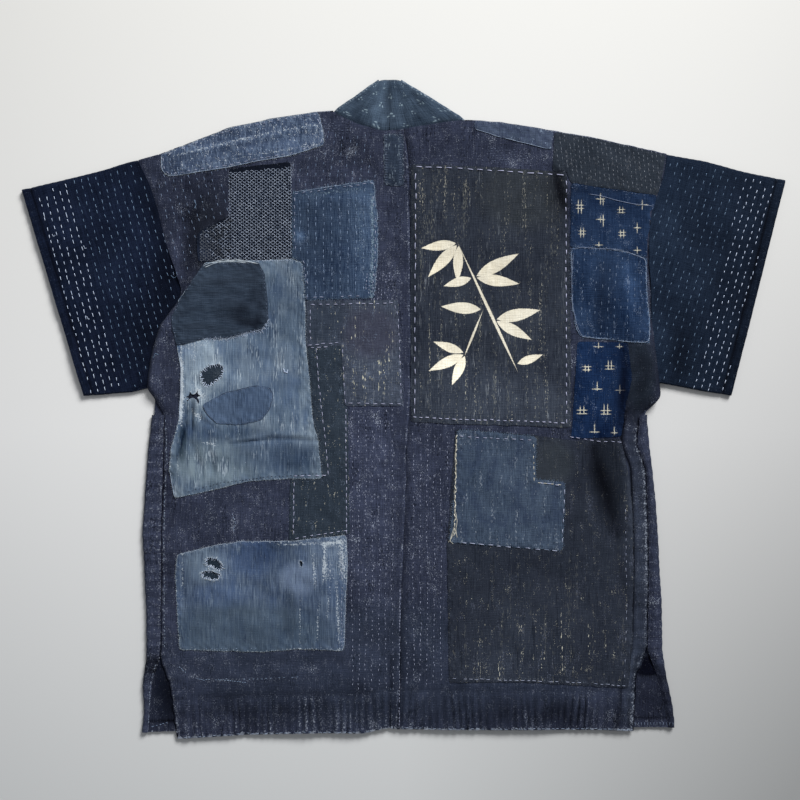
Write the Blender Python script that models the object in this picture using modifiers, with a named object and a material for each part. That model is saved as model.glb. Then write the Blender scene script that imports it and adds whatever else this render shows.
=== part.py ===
"""Patched boro jacket, laid flat with its back up. Blender 4.5, metres, +Z up.

The jacket is a hanten cut from narrow loom widths. Each body half is one length of cloth that runs
from the front hem over the shoulder to the back hem, so it is one sheet bent round the shoulder fold.
Its front is wider than its back, wraps round the side and ends at a side seam on the back, and both
hems are slit below that seam. Wide straight sleeves are tubes pressed flat. The collar is a doubled
band in two halves, joined at the centre back. Patches lie on the back halves.

+X runs to the wearer's right, +Y to the collar and +Z out of the back. The cloth rests on Z = 0.
All tables are in millimetres, and a sheet's height is that of the middle of its cloth.
"""

import math
from collections import namedtuple

import bmesh
import bpy
from mathutils import Vector
from mathutils.geometry import intersect_point_line

MM = 0.001

# Cloth and how it is stacked
CLOTH = 2.0                      # several layers of worn cotton, quilted together
COLLAR_CLOTH = 3.0               # the collar band is doubled
PATCH_CLOTH = 1.0
SEAM_GAP = 0.3                   # between pieces that are sewn together
LOWER = CLOTH / 2                # middle of the cloth that lies on the ground
UPPER = 4.3                      # middle of the cloth that lies on it
FOLD_RADIUS = (UPPER - LOWER) / 2
FOLD_REACH = FOLD_RADIUS + CLOTH / 2
FOLD_STEPS = 3
COLLAR_LOWER = COLLAR_CLOTH / 2
COLLAR_UPPER = 5.0
COLLAR_ENDS = 60.0               # the band is this wide where it runs down the fronts

# Each half has the same columns of points, so neighbours meet point to point.
SHOULDER_COLUMNS = 8
SLEEVE_RINGS = 7

# The centre back seam, from the neck to the hem, wanders a little. One row for each row of points.
Seam = namedtuple("Seam", "y x")
CENTRE_SEAM = [
    Seam(350.5, 0.6), Seam(306, 5.6), Seam(265, 6.2), Seam(230, 6.8), Seam(197, 7.2), Seam(166, 7.7),
    Seam(142, 8.0), Seam(112, 8.0), Seam(74, 8.0), Seam(33, 7.9), Seam(15, 7.0), Seam(-4, 6.0),
    Seam(-50, 3.5), Seam(-86, 2.3), Seam(-138, 0.7), Seam(-194, -2.0), Seam(-245, -3.8),
    Seam(-306, -5.5), Seam(-340, -6.4), Seam(-376, -7.4), Seam(-399.5, -8.1),
]

# The side of each half, from the shoulder to the hem. back is the edge of the cloth on the back;
# front is the edge of the cloth below it, which from the underarm down is the outer fold; strip is
# where the cloth that wraps round that fold ends, at the side seam or, below it, at the slit's hem.
Side = namedtuple("Side", "y back front_y front strip")
SIDES = {
    "left": [
        Side(312, -332, 312, -332, None),
        Side(281, -317, 281, -317, None),
        Side(250, -307, 250, -307, None),
        Side(212, -298, 212, -298, None),
        Side(180, -287, 180, -287, None),
        Side(149, -277, 149, -277, None),
        Side(134, -282, 134, -279, None),     # from here the back laps over the sleeve
        Side(106, -304, 106, -289, None),
        Side(62, -317, 62, -304, None),
        Side(27, -320.5, 27, -317, None),
        Side(14, -311, 14, -311, None),       # underarm
        Side(-4, -299.5, -4, -314.5, -299.5),
        Side(-58, -300.5, -58, -320.5, -300.5),
        Side(-97, -301.5, -97, -323, -301.5),
        Side(-154, -303, -154, -327, -303),
        Side(-202, -303, -202, -324.5, -303),
        Side(-250, -303, -250, -322, -303),
        Side(-311, -304.5, -311, -322, -304.5),   # head of the slit
        Side(-346, -292, -343, -327, -315),
        Side(-387, -287, -378, -325.5, -318),
        Side(-412, -283, -404, -328, -320),
    ],
    "right": [
        Side(319.5, 329.5, 319.5, 329.5, None),
        Side(293, 325.5, 293, 325.5, None),
        Side(270.5, 318, 270.5, 318, None),
        Side(245.5, 309.5, 245.5, 309.5, None),
        Side(213, 307, 213, 307, None),
        Side(182, 307, 182, 307, None),
        Side(149, 309.5, 149, 309.5, None),
        Side(118, 309.5, 118, 309.5, None),
        Side(85.5, 312, 85.5, 312, None),
        Side(38, 318, 38, 318, None),
        Side(14, 321, 14, 321, None),         # underarm
        Side(-4.5, 295.5, -4.5, 304, 295.5),
        Side(-43, 292, -43, 307, 292),
        Side(-74, 303, -74, 311, 303),
        Side(-122, 305.5, -122, 316.5, 305.5),
        Side(-186, 307, -186, 320, 307),
        Side(-240, 306.5, -240, 323, 306.5),
        Side(-300.5, 305.5, -300.5, 324, 305.5),  # head of the slit
        Side(-333, 292, -331, 329, 317),
        Side(-368, 290, -368, 337, 327),
        Side(-402, 287, -398, 340.5, 331),
    ],
}
ARMHOLE_ROWS = 10                # the rows of a side that a sleeve meets

# The neck curve from the centre seam to the neck point, then the shoulder fold to its end.
NECK = {
    "left": [(0.6, 350.5), (-27, 348), (-58, 356.5), (-88, 372)],
    "right": [(0.6, 350.5), (27, 355), (53, 359.5), (77, 362)],
}
SHOULDER = {
    "left": [(-88, 375), (-112, 373), (-167, 364.5), (-219, 353), (-270.5, 333), (-304.5, 319.5), (-332, 312)],
    "right": [(77, 363), (123, 360.5), (187, 349.5), (250.5, 338), (298, 327), (329.5, 319.5)],
}
BACK_HEM = {
    "left": [(-8.1, -399.5), (-23, -398.5), (-48, -404.5), (-117, -404.5), (-204, -407), (-283, -412)],
    "right": [(-8.1, -399.5), (70, -400.5), (245, -400.5), (287, -402)],
}
FRONT_HEM_Y = -396.0
# Where the collar band is sewn to a front: down from the neck point, then along the centre front.
COLLAR_SEAM = [(255, 64.0), (100, 62.5), (FRONT_HEM_Y, 62.5)]

# Sleeves: the long edges of each flattened tube, from the armhole to the cuff
SLEEVE_TOP = {
    "left": [(-332, 312), (-342, 310.5), (-379.5, 299.5), (-417, 289.5), (-477, 275.5)],
    "right": [(329.5, 319.5), (378, 310.5), (425.5, 298), (477, 287)],
}
SLEEVE_FOOT = {
    "left": [(-318, 27), (-340, 21), (-379.5, 18), (-400.5, 17)],
    "right": [(319, 33), (347, 28), (378, 22), (410.5, 17)],
}

# Soft folds. Each is a ridge along a line, highest on it and gone at its width; back and front are
# how far it lifts the upper and the lower cloth.
Fold = namedtuple("Fold", "x0 y0 x1 y1 width back front")
FOLDS = {
    "left": [
        Fold(-280, 144, -319, 22, 36, 3.8, 0.0),      # the back lapping over the sleeve
        Fold(-280, 130, -300, 35, 34, 0.0, 1.2),      # the front below that
        Fold(-262, 238, -252, 150, 30, 2.0, 0.0),
        Fold(-285, -60, -288, -250, 30, 1.2, 0.0),
        Fold(-60, 342, -20, 335, 44, 1.6, 0.0),
        Fold(-150, -392, -60, -388, 32, 1.6, 0.0),
    ],
    "right": [
        Fold(306, 78, 312, 18, 44, 8.0, 5.5),         # the cloth gathered under the arm
        Fold(262, 8, 300, -66, 30, 2.0, 0.0),
        Fold(208, 300, 224, 238, 30, 2.0, 0.0),
        Fold(248, -60, 274, -150, 32, 1.8, 0.0),
        Fold(22, 342, 60, 348, 44, 1.6, 0.0),
        Fold(40, -392, 160, -388, 32, 1.4, 0.0),
        Fold(296, -330, 290, -395, 30, 1.6, 0.0),
    ],
}
SLEEVE_FOLDS = {
    "left": [Fold(-330, 270, -350, 110, 40, 1.4, 0.0), Fold(-395, 200, -402, 60, 36, 1.0, 0.0)],
    "right": [
        Fold(322, 150, 322, 60, 40, 1.8, 0.0),
        Fold(352, 255, 372, 70, 42, 1.4, 0.0),
        Fold(420, 230, 408, 90, 36, 1.0, 0.0),
    ],
}

# Patches: outline on the back, level above the cloth (1, or 2 for a patch on a patch), and colour.
# An outline that runs past a fold or a seam is cut off there, with the cloth.
Patch = namedtuple("Patch", "name side level colour outline")
PATCHES = [
    Patch("patch_shoulder_left", "left", 1, (0.35, 0.41, 0.50), [
        (-304, 340), (-112, 390), (-100.5, 345), (-100.5, 331), (-142, 318), (-179, 312),
        (-223, 303), (-293, 292), (-301, 299)]),
    Patch("patch_herringbone", "left", 1, (0.26, 0.29, 0.33), [
        (-217, 300.5), (-142, 308), (-140, 190), (-256, 185), (-258, 214), (-254, 222), (-213, 243)]),
    Patch("patch_blue_stitched", "left", 1, (0.22, 0.28, 0.37), [
        (-138.5, 271), (-38, 285.5), (-33, 243), (-33, 187), (-38, 139.5), (-122.5, 137.5),
        (-125.5, 184), (-138.5, 189)]),
    Patch("patch_faded_large", "left", 1, (0.35, 0.41, 0.49), [
        (-248, 183), (-182, 185.5), (-139.5, 187), (-127, 182), (-124, 136), (-123, 80.5), (-118, 37),
        (-114, -13), (-107.5, -38), (-102.5, -85.5), (-142, -85.5), (-192, -88), (-242, -100.5),
        (-285.5, -109.5), (-292, -75.5), (-289.5, -50.5), (-279.5, -13), (-277, 49.5), (-282, 80.5),
        (-280, 137), (-260.5, 162)]),
    Patch("patch_charcoal", "left", 2, (0.18, 0.22, 0.28), [
        (-248, 180.5), (-182, 182), (-175.5, 168), (-172, 137), (-170.5, 112), (-177, 102),
        (-204, 95.5), (-219, 90.5), (-248, 90.5), (-282, 82), (-288, 114), (-277, 137), (-260.5, 162)]),
    Patch("patch_leaf", "left", 2, (0.27, 0.33, 0.43), [
        (-250.5, 5.5), (-223, 20.5), (-182, 29.5), (-167, 27), (-163, 18), (-167, 2), (-177, -12),
        (-204, -18), (-232, -17), (-244, -7)]),
    Patch("patch_slub", "left", 1, (0.25, 0.28, 0.33), [
        (-121, 135.5), (-8, 135.5), (-2, 5.5), (-73, 5.5), (-77, 80.5), (-120.5, 79)]),
    Patch("patch_slub_strip", "left", 1, (0.21, 0.24, 0.30), [
        (-120.3, 77.5), (-78.6, 79), (-74.8, 3.5), (-70.5, 3.5), (-68, -154.5), (-104, -159),
        (-142, -163), (-140.5, -87.5), (-100.3, -87.5), (-105.3, -38), (-111.8, -13), (-115.8, 37)]),
    Patch("patch_faded_lower", "left", 1, (0.29, 0.35, 0.42), [
        (-282, -182), (-235.5, -170.5), (-204, -165.5), (-142, -165.5), (-73, -158), (-70.5, -188),
        (-73, -238), (-75.5, -300.5), (-129, -298), (-179, -302), (-279, -299), (-284, -207)]),
    Patch("patch_neck_strip", "left", 1, (0.20, 0.24, 0.29), [
        (-23, 342), (-2, 343), (-1, 281), (-22, 283)]),
    Patch("patch_shoulder_right", "right", 1, (0.34, 0.38, 0.44), [
        (88, 372), (123, 374), (188, 362), (184, 325.5), (123, 340.5), (89.5, 350.5)]),
    Patch("patch_brown_sashiko", "right", 1, (0.21, 0.24, 0.28), [
        (190, 362), (340, 330), (326, 316), (323, 293), (316, 268.5), (209, 284), (204, 298.5),
        (187.5, 299)]),
    Patch("patch_black_large", "right", 1, (0.20, 0.23, 0.27), [
        (10, 305.5), (107, 302), (187, 296.5), (203, 296.5), (204.5, 245.5), (207, 182), (208, 55),
        (208, -22), (139, -19), (59, -17), (10, -14)]),
    Patch("patch_kasuri_upper", "right", 1, (0.17, 0.24, 0.35), [
        (210, 281.5), (315, 266.5), (304, 214), (303, 190.5), (283, 197.5), (245.5, 203), (209.5, 203.5)]),
    Patch("patch_mid_blue", "right", 1, (0.15, 0.21, 0.31), [
        (210, 201.5), (245.5, 201), (283, 195.5), (302.5, 188.5), (303, 149), (306.5, 114), (306, 83),
        (283, 85), (244, 89.5), (223, 91), (217, 99), (211, 130)]),
    Patch("patch_kasuri_lower", "right", 1, (0.13, 0.19, 0.29), [
        (218, 84), (279.5, 82.5), (284, 38), (277, 7), (272, -33), (210.5, -35.5), (215.5, 38)]),
    Patch("patch_blue_corner", "right", 2, (0.25, 0.29, 0.37), [
        (68, -26), (164.5, -34.5), (164, -88), (200.5, -92), (198, -175.5), (137, -170.5), (58, -164.5),
        (66.5, -90.5)]),
    Patch("patch_dark_lower", "right", 1, (0.17, 0.20, 0.24), [
        (66, -25), (165, -33), (214, -40), (271, -37.5), (280.5, -84.5), (284.5, -122), (287, -185.5),
        (285.5, -282), (280.5, -347), (233, -344.5), (149.5, -339.5), (58, -340.5), (55.5, -169.5)]),
]

BODY_COLOUR = (0.20, 0.23, 0.30)
SLEEVE_COLOUR = (0.12, 0.15, 0.22)
COLLAR_COLOUR = (0.27, 0.32, 0.38)
ROUGHNESS = 0.92


# ---------------------------------------------------------------- lines and heights

def at_share(points, share):
    """The point this share of the way along a line of points."""
    lengths = [math.dist(a, b) for a, b in zip(points, points[1:])]
    left = share * sum(lengths)
    for (a, b), length in zip(zip(points, points[1:]), lengths):
        if left <= length or b is points[-1]:
            part = min(left / length, 1.0)
            return tuple(p + (q - p) * part for p, q in zip(a, b))
        left -= length


def spread(points, count):
    """That many points, evenly spaced along a line of points."""
    return [at_share(points, i / (count - 1)) for i in range(count)]


def moved(points, dx, dy):
    return [(x + dx, y + dy) for x, y in points]


def lift(x, y, folds, layer):
    """How far the folds raise one layer of the cloth here."""
    height = 0.0
    for fold in folds:
        here = Vector((x, y))
        start, end = Vector((fold.x0, fold.y0)), Vector((fold.x1, fold.y1))
        nearest, share = intersect_point_line(here, start, end)
        nearest = start.lerp(end, min(max(share, 0.0), 1.0))
        away = (here - nearest).length / fold.width
        if away < 1.0:
            height += getattr(fold, layer) * (1.0 - away * away) ** 2
    return height


def filled_in(inner, outer, top, bottom, across, down):
    """A grid of points between four border lines: inner and outer have a point for each row, top and
    bottom one for each column, and across and down are the columns' and rows' shares of the way."""
    grid = []
    for i, v in enumerate(down):
        row = []
        for j, u in enumerate(across):
            point = []
            for k in (0, 1):
                sides = inner[i][k] * (1 - u) + outer[i][k] * u
                ends = top[j][k] * (1 - v) + bottom[j][k] * v
                corners = (
                    (top[0][k] * (1 - u) + top[-1][k] * u) * (1 - v)
                    + (bottom[0][k] * (1 - u) + bottom[-1][k] * u) * v
                )
                point.append(sides + ends - corners)
            row.append(tuple(point))
        grid.append(row)
    return grid


def round_fold(upper, lower, outwards):
    """The rows of points that carry a sheet round a fold, from its upper edge to its lower edge."""
    rows = []
    for step in range(1, FOLD_STEPS):
        turn = math.pi * step / FOLD_STEPS
        row = []
        for high, low, (ox, oy) in zip(upper, lower, outwards):
            radius = (high[2] - low[2]) / 2
            middle = [(p + q) / 2 for p, q in zip(high, low)]
            reach = radius * math.sin(turn)
            row.append((
                middle[0] + ox * reach,
                middle[1] + oy * reach,
                middle[2] + radius * math.cos(turn),
            ))
        rows.append(row)
    return rows


def outward_normals(points, away_from):
    """Unit directions in the plane, square to a line of points and away from one point."""
    normals = []
    for i, point in enumerate(points):
        before, after = points[max(i - 1, 0)], points[min(i + 1, len(points) - 1)]
        along = Vector((after[0] - before[0], after[1] - before[1])).normalized()
        normal = Vector((-along.y, along.x))
        if normal.dot(Vector(point[:2]) - Vector(away_from)) < 0:
            normal.negate()
        normals.append(tuple(normal))
    return normals


# ---------------------------------------------------------------- sheets and solids

def add_rows(bm, rows, closed=False):
    """Skins rows of points, two triangles to each space between four of them."""
    made = [[bm.verts.new(Vector(point) * MM) for point in row] for row in rows]
    for above, below in zip(made, made[1:]):
        count = len(above) if closed else len(above) - 1
        for j in range(count):
            k = (j + 1) % len(above)
            bm.faces.new((above[j], below[j], below[k]))
            bm.faces.new((above[j], below[k], above[k]))


def sheet_object(name, bm, colour, thickness, offset, collection):
    """A node: a sheet of cloth given its thickness, with its own material."""
    bmesh.ops.remove_doubles(bm, verts=bm.verts, dist=1e-6)
    mesh = bpy.data.meshes.new(name)
    bm.to_mesh(mesh)
    bm.free()
    mesh.shade_smooth()
    obj = bpy.data.objects.new(name, mesh)
    collection.objects.link(obj)
    wall = obj.modifiers.new("cloth", "SOLIDIFY")
    wall.thickness = thickness * MM
    wall.offset = offset
    wall.use_even_offset = True
    material = bpy.data.materials.new(name)
    material.use_nodes = True
    shader = material.node_tree.nodes["Principled BSDF"]
    shader.inputs["Base Color"].default_value = (*colour, 1.0)
    shader.inputs["Roughness"].default_value = ROUGHNESS
    shader.inputs["Metallic"].default_value = 0.0
    mesh.materials.append(material)
    return obj


def side_sign(side):
    return -1 if side == "left" else 1


def back_grid(side):
    """Points of the back cloth, a row from the centre seam to the side for each row of the tables."""
    out = side_sign(side)
    half_gap = SEAM_GAP / 2
    inner = [(seam.x + out * half_gap, seam.y) for seam in CENTRE_SEAM]
    outer = [(row.back - out * half_gap, row.y) for row in SIDES[side]]
    shoulder = moved(spread(SHOULDER[side], SHOULDER_COLUMNS + 1), 0, -FOLD_REACH)
    neck = NECK[side][:-1]
    top = [(neck[0][0] + out * half_gap, neck[0][1])] + neck[1:] + shoulder
    top[-1] = outer[0] = (outer[0][0], top[-1][1])
    span = top[-1][0] - top[0][0]
    across = [(x - top[0][0]) / span for x, _ in top]
    hem = [at_share(BACK_HEM[side], u) for u in across]
    hem[0], hem[-1] = inner[-1], outer[-1]
    down = [(inner[0][1] - y) / (inner[0][1] - inner[-1][1]) for _, y in inner]
    flat = filled_in(inner, outer, top, hem, across, down)
    folds = FOLDS[side]
    return [[(x, y, UPPER + lift(x, y, folds, "back")) for x, y in row] for row in flat]


def collar_seam_x(side, y):
    """Where the collar band is sewn to the front at this height."""
    neck_x, neck_y = SHOULDER[side][0]
    seam = [(neck_y - FOLD_REACH, abs(neck_x))] + COLLAR_SEAM
    for (y0, x0), (y1, x1) in zip(seam, seam[1:]):
        if y >= y1 or y1 == FRONT_HEM_Y:
            return side_sign(side) * (x0 + (x1 - x0) * (y0 - y) / (y0 - y1))


def front_grid(side, shoulder):
    """Points of the front cloth below, from the collar seam to the outer fold, under the same shoulder."""
    out = side_sign(side)
    half_gap = SEAM_GAP / 2
    top = [point[:2] for point in shoulder]
    outer = []
    for row in SIDES[side]:
        inset = half_gap if row.strip is None else FOLD_REACH
        outer.append((row.front - out * inset, row.front_y))
    outer[0] = top[-1]
    down = [(outer[0][1] - y) / (outer[0][1] - outer[-1][1]) for _, y in outer]
    start = top[0][1]
    inner = []
    for v in down:
        y = start + (FRONT_HEM_Y - start) * v
        inner.append((collar_seam_x(side, y) + out * half_gap, y))
    inner[0] = top[0]
    across = [(x - top[0][0]) / (top[-1][0] - top[0][0]) for x, _ in top]
    hem = [tuple(p + (q - p) * u for p, q in zip(inner[-1], outer[-1])) for u in across]
    flat = filled_in(inner, outer, top, hem, across, down)
    folds = FOLDS[side]
    return [[(x, y, LOWER + lift(x, y, folds, "front")) for x, y in row] for row in flat]


def wrapped_strip(side, front):
    """The front's cloth from its outer fold up and over on to the back, from the underarm to the hem."""
    out = side_sign(side)
    rows = [i for i, row in enumerate(SIDES[side]) if row.strip is not None]
    lower = [front[i][-1] for i in rows]
    upper = [(x, y, UPPER + lift(x, y, FOLDS[side], "back") * 0.5) for x, y, _ in lower]
    turn = round_fold(upper, lower, [(out, 0)] * len(rows))
    ends = []
    for i in rows:
        row = SIDES[side][i]
        x, y = row.strip + out * SEAM_GAP / 2, row.front_y
        ends.append((x, y, UPPER + lift(x, y, FOLDS[side], "back")))
    return [lower] + turn[::-1] + [upper, ends]


def body_half(side, collection):
    back = back_grid(side)
    shoulder = back[0][-SHOULDER_COLUMNS - 1:]
    front = front_grid(side, shoulder)
    bm = bmesh.new()
    add_rows(bm, back)
    normals = outward_normals(shoulder, (0, 0))
    add_rows(bm, [shoulder] + round_fold(shoulder, front[0], normals) + [front[0]])
    add_rows(bm, front)
    add_rows(bm, wrapped_strip(side, front))
    bmesh.ops.remove_doubles(bm, verts=bm.verts, dist=1e-6)
    bmesh.ops.recalc_face_normals(bm, faces=bm.faces)
    return sheet_object("body_" + side, bm, BODY_COLOUR, CLOTH, 0.0, collection)


def sleeve(side, collection):
    """A straight tube pressed flat: its edges are folds, and its ends are the armhole and the cuff."""
    out = side_sign(side)
    rows = SIDES[side][:ARMHOLE_ROWS]
    armhole = [(row.front + out * SEAM_GAP / 2, row.front_y) for row in rows]
    top = moved(spread(SLEEVE_TOP[side], SLEEVE_RINGS), 0, -FOLD_REACH)
    foot = moved(spread(SLEEVE_FOOT[side], SLEEVE_RINGS), 0, FOLD_REACH)
    top[0] = armhole[0] = (armhole[0][0], top[0][1])
    armhole[-1] = foot[0]
    down = [(armhole[0][1] - y) / (armhole[0][1] - armhole[-1][1]) for _, y in armhole]
    cuff = [at_share([top[-1], foot[-1]], v) for v in down]
    across = [i / (SLEEVE_RINGS - 1) for i in range(SLEEVE_RINGS)]
    flat = filled_in(armhole, cuff, top, foot, across, down)
    bm = bmesh.new()
    rings = []
    up_normals = outward_normals(top, (0, 0))
    down_normals = outward_normals(foot, (0, 300))
    for i in range(SLEEVE_RINGS):
        line = [row[i] for row in flat]
        upper = [(x, y, UPPER + lift(x, y, SLEEVE_FOLDS[side], "back")) for x, y in line]
        lower = [(x, y, LOWER + lift(x, y, SLEEVE_FOLDS[side], "front")) for x, y in line]
        head = round_fold([upper[0]], [lower[0]], [up_normals[i]])
        heel = round_fold([upper[-1]], [lower[-1]], [down_normals[i]])
        rings.append(
            upper + [row[0] for row in heel] + lower[::-1] + [row[0] for row in head[::-1]]
        )
    add_rows(bm, rings, closed=True)
    bmesh.ops.recalc_face_normals(bm, faces=bm.faces)
    return sheet_object("sleeve_" + side, bm, SLEEVE_COLOUR, CLOTH, 0.0, collection)


# The collar's rows on the back: where each crosses the neck seam, and its free edge. The last row is
# the fold over which the band turns under to run down the front.
CollarRow = namedtuple("CollarRow", "seam_x seam_y free_x free_y")
COLLAR_JOIN_X = -17.0
COLLAR_BACK = {
    "left": [CollarRow(-17, 349, -17, 411.5), CollarRow(-27, 348, -22, 411.5),
             CollarRow(-58, 356.5, -26, 411), CollarRow(-86, 372.5, -30, 410)],
    "right": [CollarRow(-17, 349, -17, 411.5), CollarRow(0.6, 350.5, -13, 411.5),
              CollarRow(27, 355, -9, 411.5), CollarRow(53, 359.5, -6, 411), CollarRow(76, 362, -4, 410)],
}
# Down the front: height, and how far the free edge is from the middle
COLLAR_FRONT = [(300, 12), (255, 4.5), (180, 3.5), (100, 3), (0, 3), (-100, 3), (-200, 3), (-300, 3),
                (FRONT_HEM_Y, 3)]
COLLAR_WAIST = 0.5               # share of the band's width at its middle line of points


def collar_half(side, collection):
    """The doubled band: across the back neck, round the diagonal fold, and down the front edge."""
    out = side_sign(side)
    gap = SEAM_GAP + 0.2
    upper = []
    for row in COLLAR_BACK[side]:
        shift = out * SEAM_GAP / 2 if row.seam_x == COLLAR_JOIN_X else 0.0
        seam = (row.seam_x + shift, row.seam_y + gap, COLLAR_UPPER)
        free = (row.free_x + shift, row.free_y, COLLAR_UPPER)
        upper.append([seam, at_share([seam, free], COLLAR_WAIST), free])
    last = upper[-1]
    under = [(x, y, COLLAR_LOWER) for x, y, _ in last]
    normals = outward_normals(last, (0, 300))
    turn = round_fold(last, under, normals)
    lower = [under]
    for y, free_x in COLLAR_FRONT:
        seam = (collar_seam_x(side, y) - out * SEAM_GAP, y, COLLAR_LOWER)
        free = (out * free_x, y, COLLAR_LOWER)
        lower.append([seam, at_share([seam, free], COLLAR_WAIST), free])
    bm = bmesh.new()
    add_rows(bm, upper + turn + lower)
    bmesh.ops.recalc_face_normals(bm, faces=bm.faces)
    return sheet_object("collar_" + side, bm, COLLAR_COLOUR, COLLAR_CLOTH, 0.0, collection)


# ---------------------------------------------------------------- patches

def inside(x, y, outline):
    """Whether a point lies inside an outline."""
    found = False
    for (x0, y0), (x1, y1) in zip(outline, outline[1:] + outline[:1]):
        if (y0 > y) != (y1 > y) and x < x0 + (x1 - x0) * (y - y0) / (y1 - y0):
            found = not found
    return found


def cut_along(bm, start, end):
    """Splits the faces that a side of an outline crosses."""
    low = Vector((min(start.x, end.x), min(start.y, end.y)))
    high = Vector((max(start.x, end.x), max(start.y, end.y)))
    crossed = []
    for face in bm.faces:
        xs, ys = zip(*((v.co.x, v.co.y) for v in face.verts))
        if max(xs) > low.x and min(xs) < high.x and max(ys) > low.y and min(ys) < high.y:
            crossed.append(face)
    edges = {edge for face in crossed for edge in face.edges}
    verts = {vert for face in crossed for vert in face.verts}
    square = Vector((start.y - end.y, end.x - start.x, 0.0)).normalized()
    bmesh.ops.bisect_plane(
        bm,
        geom=crossed + list(edges) + list(verts),
        plane_co=(start.x, start.y, 0.0),
        plane_no=square,
        dist=1e-6,
    )


def patch(spec, collection):
    """A patch is cut from the back cloth's own surface and moved out on to it."""
    bm = bmesh.new()
    add_rows(bm, back_grid(spec.side))
    outline = [Vector((x * MM, y * MM)) for x, y in spec.outline]
    for start, end in zip(outline, outline[1:] + outline[:1]):
        cut_along(bm, start, end)
    corners = [(p.x, p.y) for p in outline]
    outside = []
    for face in bm.faces:
        centre = face.calc_center_median()
        if not inside(centre.x, centre.y, corners):
            outside.append(face)
    bmesh.ops.delete(bm, geom=outside, context="FACES")
    bm.normal_update()
    if sum(face.normal.z for face in bm.faces) < 0:
        bmesh.ops.reverse_faces(bm, faces=bm.faces)
    bottom = CLOTH / 2 + SEAM_GAP + (spec.level - 1) * (PATCH_CLOTH + SEAM_GAP)
    offset = 2 * bottom / PATCH_CLOTH + 1
    return sheet_object(spec.name, bm, spec.colour, PATCH_CLOTH, offset, collection)


def main():
    for obj in list(bpy.data.objects):
        bpy.data.objects.remove(obj)
    jacket = bpy.data.collections.new("patched boro jacket")
    bpy.context.scene.collection.children.link(jacket)
    for side in ("left", "right"):
        body_half(side, jacket)
        sleeve(side, jacket)
        collar_half(side, jacket)
    for spec in PATCHES:
        patch(spec, jacket)


main()
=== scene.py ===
"""Patched boro jacket, laid flat with its back up: cloth, patches, stitching and worn edges."""

import math

import bpy
import numpy as np
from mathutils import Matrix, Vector
from mathutils.bvhtree import BVHTree
from mathutils.geometry import delaunay_2d_cdt


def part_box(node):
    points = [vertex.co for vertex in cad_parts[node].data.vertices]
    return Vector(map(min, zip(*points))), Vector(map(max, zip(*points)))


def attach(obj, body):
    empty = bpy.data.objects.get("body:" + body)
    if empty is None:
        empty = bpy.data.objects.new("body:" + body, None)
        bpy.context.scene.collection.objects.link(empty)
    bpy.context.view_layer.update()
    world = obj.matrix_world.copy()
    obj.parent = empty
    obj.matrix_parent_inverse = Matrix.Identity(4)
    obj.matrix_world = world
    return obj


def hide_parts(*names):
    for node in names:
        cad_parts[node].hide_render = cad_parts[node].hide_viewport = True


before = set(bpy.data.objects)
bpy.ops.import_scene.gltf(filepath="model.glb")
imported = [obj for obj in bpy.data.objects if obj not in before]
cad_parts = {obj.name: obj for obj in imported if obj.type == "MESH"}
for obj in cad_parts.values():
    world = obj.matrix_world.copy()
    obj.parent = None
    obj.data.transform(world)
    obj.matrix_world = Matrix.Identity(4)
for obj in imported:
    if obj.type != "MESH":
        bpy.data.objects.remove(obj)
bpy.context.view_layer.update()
MM = 0.001


# ---------------- the table, the light and the view
# A pale painted board under soft daylight that comes mostly from beyond the collar. The fall-off of that
# light across the board is painted into its colour as painted shade.
# The camera hangs straight above it, and its frame is 1 m wide at the height of the cloth.

def linear(red, green, blue):
    """A colour given as it looks on a screen, from 0 to 255, in the units that shaders use."""
    shares = [((c / 255 + 0.055) / 1.055) ** 2.4 if c > 10 else c / 3295 for c in (red, green, blue)]
    return (*shares, 1.0)


def new_material(name):
    """A new material, its tree of nodes and its main shader's inputs."""
    made = bpy.data.materials.new(name)
    made.use_nodes = True
    return made, made.node_tree, made.node_tree.nodes["Principled BSDF"].inputs


def shader_node(tree, kind, links=None, **settings):
    """A shader node with these settings, and with values or other nodes' sockets put into its inputs."""
    made = tree.nodes.new("ShaderNode" + kind)
    for name, value in settings.items():
        setattr(made, name, value)
    for name, value in (links or {}).items():
        if isinstance(value, bpy.types.NodeSocket):
            tree.links.new(value, made.inputs[name])
        else:
            made.inputs[name].default_value = value
    return made


def maths(tree, operation, first, second=0.0, third=0.0):
    """Arithmetic on numbers."""
    return shader_node(tree, "Math", {0: first, 1: second, 2: third}, operation=operation).outputs[0]


def vectors(tree, operation, first, second, third=(0.0, 0.0, 0.0)):
    """Arithmetic on vectors. With SCALE the second input is a number."""
    links = {0: first, "Scale" if operation == "SCALE" else 1: second, 2: third}
    return shader_node(tree, "VectorMath", links, operation=operation).outputs[0]


def ranged(tree, value, low, high, first=0.0, last=1.0):
    """A value between low and high, carried to between first and last, and held there beyond."""
    links = {"Value": value, "From Min": low, "From Max": high, "To Min": first, "To Max": last}
    return shader_node(tree, "MapRange", links).outputs[0]


def axes_of(tree, vector):
    """A vector's X, Y and Z."""
    return shader_node(tree, "SeparateXYZ", {"Vector": vector}).outputs


def ramp(tree, fac, stops):
    """A colour ramp through (place, colour) stops."""
    made = shader_node(tree, "ValToRGB", {"Fac": fac})
    elements = made.color_ramp.elements
    while len(elements) < len(stops):
        elements.new(0.5)
    for element, (place, colour) in zip(elements, stops):
        element.position = place
        element.color = colour
    return made.outputs["Color"]


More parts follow.
